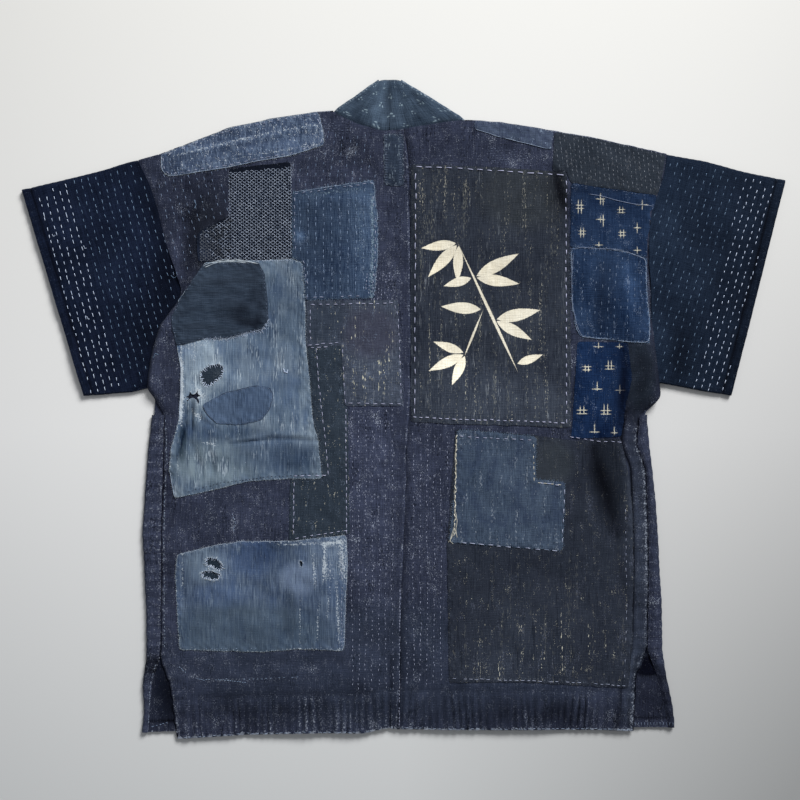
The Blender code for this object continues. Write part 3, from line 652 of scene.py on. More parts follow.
def with_ends(values):
    """Evenly spaced values, with closer ones next to both ends."""
    step = values[1] - values[0], values[-1] - values[-2]
    first = values[0] + step[0] * np.array([0.25, 0.5, 0.75])
    last = values[-1] - step[1] * np.array([0.75, 0.5, 0.25])
    return np.concatenate([values[:1], first, values[1:-1], last, values[-1:]])


forms = {}  # the smoothed top of each solid of the garment


def seed_of(side):
    """The seed of a half's crumple, which keeps the halves unlike."""
    return 11 if side == "left" else 23


def body_half(side):
    """One half: its back, the fold over the shoulder, its front, and the strip that wraps round the
    side."""
    node = "body_" + side
    out = OUT[side]
    forms[node] = form_of(node)
    under = form_of(node, -1)
    neck, shoulder = NECK[side], SHOULDER[side] - (0, FOLD_REACH)
    neck_columns = round(abs(neck[-1, 0] - neck[0, 0]) / PITCH)
    columns = round(abs(shoulder[-1, 0] - shoulder[0, 0]) / PITCH)
    neck_x = with_ends(np.linspace(neck[0, 0], neck[-1, 0], neck_columns, endpoint=False))
    neck_columns = len(neck_x)
    shoulder_x = with_ends(np.linspace(shoulder[0, 0], shoulder[-1, 0], columns + 1))
    top = np.concatenate([
        eased(neck, abs(neck[:, 0]), abs(neck_x)),
        eased(shoulder, abs(shoulder[:, 0]), abs(shoulder_x))])
    sides = SIDES[side]
    rows = round((CENTRE_SEAM[0, 0] - CENTRE_SEAM[-1, 0]) / PITCH) + 1
    heights = with_ends(np.linspace(CENTRE_SEAM[0, 0], CENTRE_SEAM[-1, 0], rows))
    station = np.interp(-heights, -CENTRE_SEAM[:, 0], np.arange(len(sides)))
    seam_x = np.interp(-heights, -CENTRE_SEAM[:, 0], CENTRE_SEAM[:, 1])
    inner = np.stack([seam_x + out * SEAM_HALF, heights], 1)
    outer = eased(sides[:, [1, 0]], np.arange(len(sides)), station, 3)
    top[0], top[-1] = inner[0], (outer[0, 0], top[-1, 1])
    outer[0] = top[-1]
    across = (top[:, 0] - top[0, 0]) / (top[-1, 0] - top[0, 0])
    hem_line = BACK_HEM[side]
    lengths = lengths_along(hem_line)
    hem = eased(hem_line, lengths / lengths[-1], across)
    hem[0], hem[-1] = inner[-1], outer[-1]
    down = (heights[0] - heights) / (heights[0] - heights[-1])
    flat = filled_in(inner, outer, top, hem, across, down)
    x, y = flat[..., 0], flat[..., 1]
    from_seam = abs(x - x[:, :1])
    from_side = abs(x - x[:, -1:])
    from_hem = y - y[-1:]
    relief, rubbed = back_relief(side, x, y, from_seam, from_side, from_hem)
    back = np.dstack([x, y, height_on(forms[node], x, y) - CLOTH / 2 + relief])
    broken = 0.55 + 0.45 * sway(x, y, 0.011, seed_of(side) + 6)
    wear = (0.62 * broken * bump_at(from_seam - 0.0012, 0.0009) * (side == "left")
            + 1.2 * broken * bump_at(from_hem, 0.0028)
            + 0.36 * bump_at(from_side - 0.0035, 0.0016) * (y < -0.02)
            + 0.15 * bump_at(from_hem - 0.047, 0.003))
    wear += rubbed + soft_spots(x, y, WORN_SPOTS[side])
    cloth = np.dstack([x, y])
    sheet = Sheet()
    # Tone from the relief: ridges paler where worn indigo fades, troughs deeper as painted shade. The
    # darker lines below, along the side edge, the sewn side line and the centre seam, are painted shade in
    # their grooves.
    tone = soft_spots(x, y, BODY_TONES_AND_SHADE) + 0.17 * np.clip(relief / MM, -2.5, 1.5)
    tone -= 0.8 * bump_at(from_side, 0.0018) * (y < -0.01)
    if side == "right":
        tone -= 0.6 * bump_at(from_side - 0.02, 0.0018) * (y < -0.01)
        tone -= 0.5 * bump_at(from_seam - 0.001, 0.0014)
    sheet.add(back, cloth, wear, tone)

    edge = back[0, neck_columns:]
    edge_cloth = cloth[0, neck_columns:]
    front_outer = sides[:, [3, 2]].copy()
    front_outer[:, 0] -= out * np.where(sides[:, 4] == sides[:, 3], SEAM_HALF, FOLD_REACH)
    coarse = np.arange(0, WRAP_ROW - 1, 0.45)
    fine = station[station > WRAP_ROW - 1]
    at = np.concatenate([coarse, fine])
    front_outer = eased(front_outer, np.arange(len(sides)), at, 2)
    front_outer[0] = edge[-1, :2]
    drop = (front_outer[0, 1] - front_outer[:, 1]) / (front_outer[0, 1] - front_outer[-1, 1])
    inner_y = edge[0, 1] + (FRONT_HEM_Y - edge[0, 1]) * drop
    front_inner = np.stack([collar_seam_x(side, inner_y) + out * SEAM_HALF, inner_y], 1)
    front_inner[0] = edge[0, :2]
    span = (edge[:, 0] - edge[0, 0]) / (edge[-1, 0] - edge[0, 0])
    front_hem = front_inner[-1] + (front_outer[-1] - front_inner[-1]) * span[:, None]
    flat = filled_in(front_inner, front_outer, edge[:, :2], front_hem, span, drop)
    fx, fy = flat[..., 0], flat[..., 1]
    front = np.dstack([fx, fy, height_on(under, fx, fy) + CLOTH / 2])
    front_cloth = np.dstack([fx, -fy + 2 * edge[:, 1][None]])
    turned = round_fold(edge, front[0], square_to(edge, (0, 0)))
    bend = [edge_cloth + (0, 2.0 * MM * (k + 1)) for k in range(len(turned))]
    sheet.add([edge] + turned + [front[0]], np.stack([edge_cloth] + bend + [front_cloth[0]]), 0.5)
    hem_band = step_between(fy[-1:] - fy, -0.014, -0.008)
    ribs = ripples(fx + 0.002 * sway(fx, fy, 0.05, 7), 0.0075)
    front[..., 2] += (0.5 * ribs * hem_band - 0.8 * bump_at(fy - fy[-1:] - 0.011, 0.0025)) * MM
    front_wear = 0.3 * bump_at(fy - fy[-1:], 0.002) + 0.22 * np.clip(ribs, 0, 1) * hem_band
    # Painted shade on the front where it shows in the slits, below the back's edge: deeper all over there,
    # in the slit spots, along the hem's stitched groove and across the hem band.
    front_shading = (-0.35 if side == "left" else -0.45) * step_between(-fy, 0.30, 0.32) * (1 - hem_band)
    front_shading += soft_spots(fx, fy, SLIT_SHADOWS)
    front_shading -= 0.5 * bump_at(fy - fy[-1:] - 0.0125, 0.0016) + 0.25 * hem_band
    sheet.add(front, front_cloth, front_wear, front_shading)

    start = int(np.searchsorted(at, WRAP_ROW))
    low = front[start:, -1]
    stations = at[start:]
    high_z = height_on(forms[node], low[:, 0], low[:, 1]) - CLOTH / 2
    puckers = ripples(low[:, 1] + 0.003 * sway(low[:, 0], low[:, 1], 0.04, 31), SIDE_PUCKER)
    high = np.stack([low[:, 0], low[:, 1], high_z + (0.3 + 0.45 * puckers) * MM], 1)
    out_line = np.tile([out, 0.0], (len(low), 1))
    turned = round_fold(high, low, out_line)[::-1]
    strip_x = np.interp(stations, np.arange(len(sides)), sides[:, 4]) + out * SEAM_HALF
    sinking = step_between(-low[:, 1], 0.314, 0.332) * (side == "right")
    strip = []
    for share in np.linspace(0, 1, 7):
        sx = high[:, 0] * (1 - share) + strip_x * share
        crown = 4 * share * (1 - share)
        sz = height_on(forms[node], sx, low[:, 1]) - CLOTH / 2
        full = 0.5 * (0.4 + puckers) if side == "left" else 1.1 + 0.2 * puckers
        sz += (0.3 + crown * full - 0.6 * share ** 4) * MM
        sunk = sinking * share
        sz = sz * (1 - sunk) + (height_on(under, sx, low[:, 1]) + 0.7 * CLOTH) * sunk
        strip.append(np.stack([sx, low[:, 1], sz], 1))
    wrap = np.stack([low] + turned + strip)
    beside = front_cloth[start:, -1]
    steps = np.cumsum([0] + [2.0 * MM] * len(turned) + [2.0 * MM] * 7)
    wrap_cloth = np.stack([beside + (out * s, 0) for s in steps])
    wrap_wear = np.zeros(wrap.shape[:2])
    crests = np.clip(puckers, 0, 1)
    rubs = 0.3 if side == "left" else 0.2
    wrap_wear[len(turned) - 1:len(turned) + 2] = rubs * (0.6 + 0.5 * crests)
    wrap_wear[len(turned) + 2:] = rubs * (0.35 + 0.5 * crests)
    wrap_wear[-2:] = rubs * 1.1
    wrap_wear[len(turned):] *= 1 - sinking
    # Painted light and shade on the strip that wraps round the side: deeper in the puckers' troughs and
    # paler on their crests, paler on its crown as a highlight, and deeper where it sinks under the right
    # slit and at the head of the left slit.
    wrap_shading = np.zeros(wrap.shape[:2])
    wrap_shading[len(turned):] = 0.15 * puckers - 0.15
    wrap_shading[len(turned) + 2:-3] += 0.15
    wrap_shading[len(turned):] -= 0.42 * sinking
    if side == "left":
        wrap_shading[len(turned) - 2:] += 0.15 - 0.85 * bump_at(low[:, 1] + 0.322, 0.015)
    sheet.add(wrap, wrap_cloth, wrap_wear, wrap_shading)

    obj = cloth_piece(node + "_cloth", *sheet.parts(), CLOTH, body_cotton)
    on_the_table(obj, node)
    return obj


bodies = {side: body_half(side) for side in ("left", "right")}


# ---------------- the two sleeves
# Each is a straight tube of one loom width of darker navy cotton, pressed flat, with folds along the
# shoulder and below. It is sewn into the armhole, hemmed at the cuff, and quilted in rows parallel to
# the cuff, in white there and in blue further in.

SLEEVE_TOP = {"left": in_mm([(-332, 312), (-342, 310.5), (-379.5, 299.5), (-417, 289.5), (-477, 275.5)]),
    "right": in_mm([(329.5, 319.5), (378, 310.5), (425.5, 298), (477, 287)])}
SLEEVE_FOOT = {"left": in_mm([(-318, 27), (-340, 21), (-379.5, 18), (-400.5, 17)]),
    "right": in_mm([(319, 33), (347, 28), (378, 22), (410.5, 17)])}
ARMHOLE_ROWS = 10
CUFF_ROWS = 8.7 * MM  # between the quilting rows
CUFF_RIB = 13 * MM  # between the ribs of the hem
SLEEVE_ROUND = 0.58  # the whole way round the tube

sleeve_cotton = {"left": cotton("navy sleeve", (3, 9, 25), (30, 40, 63), worn=(92, 104, 126), cloud=0.3),
    "right": cotton("teal navy sleeve", (8, 17, 32), (33, 45, 63), worn=(92, 104, 122), cloud=0.3)}
# Soft spots on the sleeves, as on the back: the deeper ones next to the armholes are painted shade of the
# folds there, the paler one on the right sleeve is its fading, and the wide deeper one darkens the middle
# of the right sleeve.
SLEEVE_TONES_AND_SHADE = {"left": [(-316, 110, 26, 48, -0.45), (-300, 172, 12, 40, -0.25), (-345, 70, 30, 30, -0.2)],
    "right": [(345, 72, 16, 40, -0.45), (334, 210, 16, 80, 0.2), (425, 150, 50, 150, -0.2)]}


def evenly(table, count, soften=2):
    """This many places, evenly spaced along a line of a table, with its corners eased."""
    lengths = lengths_along(table)
    return eased(table, lengths / lengths[-1], np.linspace(0, 1, count), soften)


def sleeve(side):
    """One sleeve: its upper and lower layers, joined by a fold along the top and one along the foot."""
    node = "sleeve_" + side
    out = OUT[side]
    forms[node] = form_of(node)
    under = form_of(node, -1)
    rows, columns = 97, 54
    sides = SIDES[side][:ARMHOLE_ROWS]
    armhole = evenly(sides[:, [3, 2]] + (out * SEAM_HALF, 0), rows)
    top = evenly(SLEEVE_TOP[side] - (0, FOLD_REACH), columns)
    foot = evenly(SLEEVE_FOOT[side] + (0, FOLD_REACH), columns)
    top[0] = armhole[0] = (armhole[0, 0], top[0, 1])
    armhole[-1] = foot[0]
    down = (armhole[0, 1] - armhole[:, 1]) / (armhole[0, 1] - armhole[-1, 1])
    cuff = top[-1] + (foot[-1] - top[-1]) * down[:, None]
    across = np.linspace(0, 1, columns)
    flat = filled_in(armhole, cuff, top, foot, across, down)
    x, y = flat[..., 0], flat[..., 1]
    cuff_way = (foot[-1] - top[-1]) / np.linalg.norm(foot[-1] - top[-1])
    from_cuff = abs((x - top[-1, 0]) * cuff_way[1] - (y - top[-1, 1]) * cuff_way[0])
    along = (x - top[-1, 0]) * cuff_way[0] + (y - top[-1, 1]) * cuff_way[1]
    seed = 41 if side == "left" else 47
    relief = 0.5 * sway(x, y, 0.08, seed) + 0.2 * sway(x, y, 0.026, seed + 1)
    row = from_cuff / CUFF_ROWS
    near = bump_at((row - np.round(row)) * CUFF_ROWS, 0.002) * (row > 0.6) * (row < 17.5)
    relief -= (0.4 + 0.2 * ripples(along, 0.0087)) * near
    relief += 0.15 * bump_at(from_cuff - 0.005, 0.004) - 0.8 * bump_at(from_cuff - 0.0115, 0.002)
    ribs = ripples(along + 0.002 * sway(x, y, 0.05, 5), CUFF_RIB)
    relief += 0.35 * ribs * bump_at(from_cuff, 0.008)
    z = height_on(forms[node], x, y) - CLOTH / 2 + relief * MM
    upper = np.dstack([x, y, z])
    lower = np.dstack([x, y, height_on(under, x, y) + CLOTH / 2])
    head = round_fold(upper[0], lower[0], square_to(top, (0, 0)))
    heel = round_fold(upper[-1], lower[-1], square_to(foot, (0, 0.3)))
    below = lower[::-3]
    ring = np.stack([*upper, *heel, *below, *head[::-1]])
    measure = np.linspace(0, SLEEVE_ROUND, len(ring) + 1)[:-1]
    cloth = np.dstack([np.broadcast_to(from_cuff[0], ring.shape[:2]),
                       np.broadcast_to(measure[:, None], ring.shape[:2])])
    cloth[:rows] = np.dstack([from_cuff, along])
    wear = np.zeros(ring.shape[:2])
    wear[:, -3:] = 0.15
    wear[:3] = 0.15
    wear[rows - 2:rows + 3] = 0.15
    from_body = abs(x - x[:, :1])
    tone = np.zeros(ring.shape[:2])
    # Tone from the relief: ridges paler where worn, troughs deeper as painted shade. The left sleeve is
    # darkened beside the body as painted shade of the body's lapping edge, and the right one is paler
    # there; the cuff's stitched groove is darkened as painted shade, and both sleeves get darker towards
    # the cuff.
    tone[:rows] = 0.17 * np.clip(relief, -2, 1.5)
    tone[:rows] += bump_at(from_body, 0.02) * (-0.45 if side == "left" else 0.2)
    tone[:rows] -= 0.4 * bump_at(from_cuff - 0.0115, 0.0016)
    tone[:rows] -= (0.3 if side == "left" else 0.35) * bump_at(from_cuff, 0.016)
    tone[:rows] += soft_spots(x, y, SLEEVE_TONES_AND_SHADE[side])
    sheet = Sheet()
    sheet.add(ring.transpose(1, 0, 2), cloth.transpose(1, 0, 2), wear.T, tone.T, closed=True)
    obj = cloth_piece(node + "_cloth", *sheet.parts(), CLOTH, sleeve_cotton[side])
    on_the_table(obj, node)
    return obj


sleeves = {side: sleeve(side) for side in ("left", "right")}


# ---------------- the collar
# A doubled band of printed teal indigo cotton, joined just left of the middle of the neck. It lies
# flat across the back of the neck, turns under along two long diagonal folds, and runs down both
# front edges below.

COLLAR_CLOTH = 3.0 * MM
# From the join outwards: where each line across the band meets the neck seam, and its free edge
COLLAR_BACK = {"left": in_mm([(-17, 349, -17, 411.5), (-27, 348, -22, 411.5), (-58, 356.5, -26, 411),
    (-86, 372.5, -30, 410)]),
    "right": in_mm([(-17, 349, -17, 411.5), (0.6, 350.5, -13, 411.5), (27, 355, -9, 411.5),
        (53, 359.5, -6, 411), (76, 362, -4, 410)])}
COLLAR_LINES = 30  # lines across the band, from the join to the fold
# Down the front: height, and how far the free edge is from the middle
COLLAR_FRONT = in_mm([(300, 12), (255, 4.5), (180, 3.5), (100, 3), (0, 3), (-200, 3), (-396, 3)])


def florets(tree, cloth, colour, threads):
    """Small pale three-petalled marks in offset rows, as if printed with a paste resist."""
    shifted = shaken(tree, cloth, 80.0, 9 * MM)
    axes = axes_of(tree, vectors(tree, "MULTIPLY", shifted, (1 / 0.024, 1 / 0.0125, 1)))
    odd = maths(tree, "FLOORED_MODULO", maths(tree, "FLOOR", axes["Y"]), 2.0)
    u = maths(tree, "FRACT", maths(tree, "ADD", axes["X"], maths(tree, "MULTIPLY", odd, 0.5)))
    u = maths(tree, "SUBTRACT", u, 0.5)
    v = maths(tree, "SUBTRACT", maths(tree, "FRACT", axes["Y"]), 0.5)
    mask = 0.0
    for petal_u, petal_v in ((0.0, 2.0), (-1.8, -1.2), (1.8, -1.2)):
        across = maths(tree, "MULTIPLY_ADD", u, 24.0, -petal_u)
        up = maths(tree, "MULTIPLY_ADD", v, 12.5, -petal_v)
        square = maths(tree, "MULTIPLY_ADD", across, across, maths(tree, "MULTIPLY", up, up))
        petal = ranged(tree, maths(tree, "SQRT", square), 0.35, 1.25, 1.0, 0.0)
        mask = maths(tree, "MAXIMUM", mask, petal)
    uneven = maths(tree, "MULTIPLY_ADD", ranged(tree, threads["Cloud"], 0.3, 0.6), 0.45, 0.5)
    return mixed(tree, maths(tree, "MULTIPLY", mask, uneven), colour, linear(136, 154, 166))


collar_cotton = cotton("printed collar", (34, 46, 62), (72, 87, 104), worn=(150, 162, 172), cloud=0.6,
    changes=[florets])
COLLAR_CREASES = [(-26, 408, -34, 370, 4, 0.9), (-14, 408, -10, 372, 4, 0.8), (-20, 400, -20, 350, 4, -0.9),
    (-50, 384, -66, 362, 4, -0.7), (10, 396, 26, 372, 4, -0.8), (30, 384, 52, 366, 4, 0.7),
    (0, 380, 4, 354, 4, -0.7), (-40, 372, -36, 352, 4, 0.7)]


def collar_half(side):
    """One half of the band: across the neck, round the diagonal fold, and down the front."""
    node = "collar_" + side
    out = OUT[side]
    forms[node] = form_of(node)
    under = form_of(node, -1)
    table = COLLAR_BACK[side].copy()
    table[:, 1] -= 0.8 * MM
    lines = evenly(table, COLLAR_LINES, 3)
    shares = np.linspace(0, 1, 24)
    seam, free = lines[:, None, :2], lines[:, None, 2:]
    flat = seam + (free - seam) * shares[None, :, None]
    x, y = flat[..., 0], flat[..., 1]
    spread = np.linspace(0, 1, COLLAR_LINES)[:, None]
    relief = 0.4 * sway(x, y, 0.05, 61) + 0.3 * sway(x, y, 0.02, 62)
    relief -= 1.1 * bump_at(shares[None], 0.05)
    relief += creased(x, y, COLLAR_CREASES)
    relief += 0.5 * bump_at(1 - shares[None], 0.12) * (1 - spread)
    z = height_on(forms[node], x, y) - COLLAR_CLOTH / 2 + relief * MM
    upper = np.dstack([x, y, z])
    last = upper[-1]
    fold = last.copy()
    fold[:, 2] = COLLAR_CLOTH / 2
    turned = round_fold(last, fold, square_to(last, (0, 0.3)), 6)
    ys = np.linspace(COLLAR_FRONT[0, 0], COLLAR_FRONT[-1, 0], 70)
    inner = out * np.interp(-ys, -COLLAR_FRONT[:, 0], COLLAR_FRONT[:, 1])
    outer = collar_seam_x(side, ys) - out * 0.3 * MM
    below = outer[:, None] + (inner - outer)[:, None] * shares
    low_y = np.broadcast_to(ys[:, None], below.shape)
    low = np.dstack([below, low_y, height_on(under, below, low_y) + COLLAR_CLOTH / 2])
    rows = np.concatenate([upper, turned, fold[None], low])
    band = lengths_along(rows[:, 12])
    width = np.linalg.norm(table[0, :2] - table[0, 2:])
    cloth = np.dstack([np.broadcast_to(out * band[:, None], rows.shape[:2]),
                       np.broadcast_to(shares * width, rows.shape[:2])])
    wear = np.zeros(rows.shape[:2]) + 0.6 * bump_at(1 - shares, 0.04) + 0.4 * bump_at(shares, 0.03)
    wear[COLLAR_LINES - 1:COLLAR_LINES + 4] = 0.5
    sheet = Sheet()
    tone = np.zeros(rows.shape[:2])
    # Tone from the relief: ridges of the creases paler where worn, troughs and the sunk neck edge deeper as
    # painted shade.
    tone[:COLLAR_LINES] = 0.26 * np.clip(relief, -1.2, 1.5) + 0.2 * bump_at(x + 0.03, 0.008)
    sheet.add(rows, cloth, wear, tone)
    obj = cloth_piece(node + "_cloth", *sheet.parts(), COLLAR_CLOTH, collar_cotton)
    on_the_table(obj, node)
    return obj


collars = {side: collar_half(side) for side in ("left", "right")}


# ---------------- patches: how they are made
# Every patch is one thickness of old cotton with its edges turned under, laid on the back and sewn
# down with running stitches. Its edge follows its solid's, and it lies on whatever cloth is below it.

PATCH_CLOTH = 0.6 * MM
PATCH_PITCH = 2.2 * MM
EDGE_PUCKER = 12 * MM  # between the puckers along an edge


def tops(objects):
    """A tree of each piece's faces, to look down on."""
    graph = bpy.context.evaluated_depsgraph_get()
    return [BVHTree.FromObject(obj, graph) for obj in objects]


def top_at(trees, x, y, missing=None):
    """The height of the topmost of these pieces of cloth at a place."""
    best = None
    for tree in trees:
        hit = tree.ray_cast(Vector((x, y, 0.2)), Vector((0, 0, -1)))[0]
        if hit is not None and (best is None or hit.z > best):
            best = hit.z
    return missing if best is None else best


def loop_round(node):
    """The edge of a solid's top, as a loop of places."""
    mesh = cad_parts[node].data
    places = [tuple(np.round(vertex.co[:], 5)) for vertex in mesh.vertices]
    following, both = {}, set()
    for face in mesh.polygons:
        if face.normal.z > 0.5:
            corners = [places[i][:2] for i in face.vertices]
            for a, b in zip(corners, corners[1:] + corners[:1]):
                both.add((a, b))
    for a, b in both:
        if (b, a) not in both and a != b:
            following[a] = b
    start = min(following)
    loop, here = [start], following[start]
    while here != start and len(loop) <= len(following):
        loop.append(here)
        here = following[here]
    return np.array(loop)


def along_loop(loop, pitch):
    """A loop's places, evenly spaced."""
    closed = np.vstack([loop, loop[:1]])
    lengths = lengths_along(closed)
    wanted = np.linspace(0, lengths[-1], max(8, round(lengths[-1] / pitch)) + 1)[:-1]
    return np.stack([np.interp(wanted, lengths, closed[:, k]) for k in (0, 1)], 1)


def twice_area(loop):
    """Twice the area inside a loop, below 0 where it runs clockwise."""
    return np.sum(loop[:, 0] * np.roll(loop[:, 1], -1) - np.roll(loop[:, 0], -1) * loop[:, 1])


def outward_of(loop):
    """The directions square to a loop and away from its inside."""
    along = np.roll(loop, -1, 0) - np.roll(loop, 1, 0)
    away = np.stack([along[:, 1], -along[:, 0]], 1) / np.linalg.norm(along, axis=1)[:, None]
    return away * np.sign(twice_area(loop))


def within(x, y, loop):
    """Which places lie inside a loop."""
    found = np.zeros(np.shape(x), bool)
    for (x0, y0), (x1, y1) in zip(loop, np.roll(loop, -1, 0)):
        if y0 != y1:
            crossing = ((y0 > y) != (y1 > y)) & (x < x0 + (x1 - x0) * (y - y0) / (y1 - y0))
            found ^= crossing
    return found


def from_loop(x, y, loop):
    """How far places are from a loop."""
    nearest = np.full(np.shape(x), 1.0)
    for (x0, y0), (x1, y1) in zip(loop, np.roll(loop, -1, 0)):
        dx, dy = x1 - x0, y1 - y0
        share = np.clip(((x - x0) * dx + (y - y0) * dy) / max(dx * dx + dy * dy, 1e-12), 0, 1)
        nearest = np.minimum(nearest, np.hypot(x - x0 - share * dx, y - y0 - share * dy))
    return nearest


def ragged(loop, amount, seed, grow=0.0):
    """A loop made a little larger, with its corners rounded off and its line made uneven."""
    fine = along_loop(loop, 1.9 * MM)
    for _ in range(2):
        fine = (np.roll(fine, 1, 0) + 2 * fine + np.roll(fine, -1, 0)) / 4
    x, y = fine.T
    uneven = 0.5 + 0.35 * sway(x, y, 0.03, seed) + 0.35 * sway(x, y, 0.008, seed + 1)
    uneven += np.random.default_rng(seed).normal(0, 0.25, len(x))
    return fine - outward_of(fine) * (amount * MM * np.clip(uneven, -0.4, 1.8) - grow * MM)[:, None]


patch_loops = {}  # each patch's edge
hole_loops = []  # the edge of every hole
patch_cloths = {"left": {}, "right": {}}


def patch(name, side, material, seed, holes=(), rag=0.6, swell=0.2, columns=0.0, depth=0.3,
          slope=0.0, tones=(), rubs=(), worn=0.2, hole_wear=0.7, turn=0.12, grow=1.3):
    """A patch over its solid, on the back and on the patches made before it, on being the one that it
    is sewn to if any. holes are loops in it. rag is how uneven its edge is and grow how far it goes
    past its solid's. swell is how much it puffs, and turn how much its turned edge does. columns is
    the space between its quilting rows, depth is how far they pull it in, and slope turns them from
    the vertical. tones are soft spots that are paler or deeper, and rubs are lines along which it is
    rubbed pale, each as x, y to x, y, half width and amount. worn and hole_wear are for its edges."""
    node = "patch_" + name
    loop = ragged(loop_round(node), rag, seed, grow)
    patch_loops[name] = loop
    lies_on = [bodies[side], *patch_cloths[side].values()]
    edges = [loop] + [ragged(MM * np.array(hole), 0.8, seed + 9) for hole in holes]
    hole_loops.extend(edges[1:])
    low, high = loop.min(0), loop.max(0)
    xs = np.arange(low[0], high[0], PATCH_PITCH)
    ys = np.arange(low[1], high[1], PATCH_PITCH)
    gx, gy = [grid.ravel() for grid in np.meshgrid(xs, ys)]
    inside = within(gx, gy, loop)
    gx, gy = gx[inside], gy[inside]
    clear = np.full(len(gx), True)
    for edge in edges:
        clear &= from_loop(gx, gy, edge) > 0.6 * PATCH_PITCH
    for edge in edges[1:]:
        clear &= ~within(gx, gy, edge)
    points = [Vector(place) for edge in edges for place in edge]
    points += [Vector(place) for place in zip(gx[clear], gy[clear])]
    rims, first = [], 0
    for edge in edges:
        count = len(edge)
        rims += [(first + k, first + (k + 1) % count) for k in range(count)]
        first += count
    made = delaunay_2d_cdt(points, rims, [], 0, 1e-7)
    places = np.array([tuple(place) for place in made[0]])
    faces = np.array([face for face in made[2] if len(face) == 3])
    middle = places[faces].mean(1)
    keep = within(middle[:, 0], middle[:, 1], loop)
    for edge in edges[1:]:
        keep &= ~within(middle[:, 0], middle[:, 1], edge)
    faces = faces[keep]
    x, y = places.T
    trees = tops(lies_on)
    base = np.array([top_at(trees, a, b, 5.0 * MM) for a, b in places])
    away = from_loop(x, y, loop)
    hole_away = np.full(len(x), 1.0)
    for edge in edges[1:]:
        hole_away = np.minimum(hole_away, from_loop(x, y, edge))
    relief = swell * (0.6 + 0.5 * sway(x, y, 0.035, seed + 2) + 0.3 * sway(x, y, 0.016, seed + 3))
    if columns:
        turned = x * math.cos(slope) - y * math.sin(slope) + 0.0006 * sway(x, y, 0.06, seed + 4)
        step = columns * MM
        beside = turned - np.round(turned / step) * step
        relief += depth * (0.5 - bump_at(beside, 0.3 * step))
    relief += turn * bump_at(away - 0.003, 0.0025)
    pucker = ripples(x + y + 0.002 * sway(x, y, 0.03, seed + 5), EDGE_PUCKER)
    relief += 0.25 * pucker * bump_at(away - 0.004, 0.005)
    relief = np.maximum(relief, 0.0) - 0.25 * bump_at(away, 0.0012)
    relief += 0.5 * bump_at(hole_away, 0.003)
    z = base + PATCH_CLOTH + (0.05 + np.maximum(relief, -0.1)) * MM
    wear = worn * bump_at(away, 0.0022) + hole_wear * bump_at(hole_away, 0.0026) + creased(x, y, rubs)
    # Tone from the creases and relief below: ridges paler where worn, troughs and quilting grooves deeper
    # as painted shade. The given tones add fading and, on some patches, painted shade and highlight on
    # folds. An edge that is not worn pale gets a thin painted shadow.
    shape = np.clip(creased(x, y, CREASES[side]), -2.5, 1.5) + 0.6 * relief
    tone = soft_spots(x, y, tones) + 0.2 * shape - 0.12 * bump_at(away, 0.0016) * (worn < 0.5)
    obj = cloth_piece(name + "_patch", np.stack([x, y, z], 1), faces,
                      np.stack([x, y], 1), wear, tone, PATCH_CLOTH, material, -1.0)
    on_the_table(obj, node)
    patch_cloths[side][name] = obj


# ---------------- faded patches
# Light blue patches, washed almost grey in vertical streaks, thin enough to have worn into holes with
# white frayed rims.

WHITE_RIM = (186, 196, 204)
INDIGO_FADE = (1.1, 1.0, 0.85)  # paler is greyer, deeper is bluer


def clouded(colour, scale, low=0.5, high=0.66, amount=0.6):
    """A change to a cotton: soft areas of this colour. scale is how many there are in a metre, across
    and along."""
    def change(tree, cloth, ground, threads):
        area = stretched_noise(tree, cloth, (*scale, 1), 4.0, 0.65)
        return mixed(tree, ranged(tree, area, low, high, 0.0, amount), ground, linear(*colour))
    return change


pale_streaks = flecked((166, 180, 192), (760, 60), (60, 24), 0.5, 0.58)
dark_streaks = flecked((44, 58, 80), (680, 36), (60, 24), 0.6, 0.66)
specks = flecked((196, 204, 212), (760, 560), (200, 120), 0.48, 0.65)
deep_areas = clouded((60, 80, 114), scale=(34, 16), amount=0.4)
pale_stripes = clouded((140, 156, 172), scale=(400, 30), low=0.48, high=0.7, amount=0.3)
dark_stripes = clouded((58, 74, 100), scale=(330, 24), low=0.48, high=0.72, amount=0.36)
grey_areas = clouded((122, 136, 148), scale=(24, 13), low=0.5, high=0.62, amount=0.55)

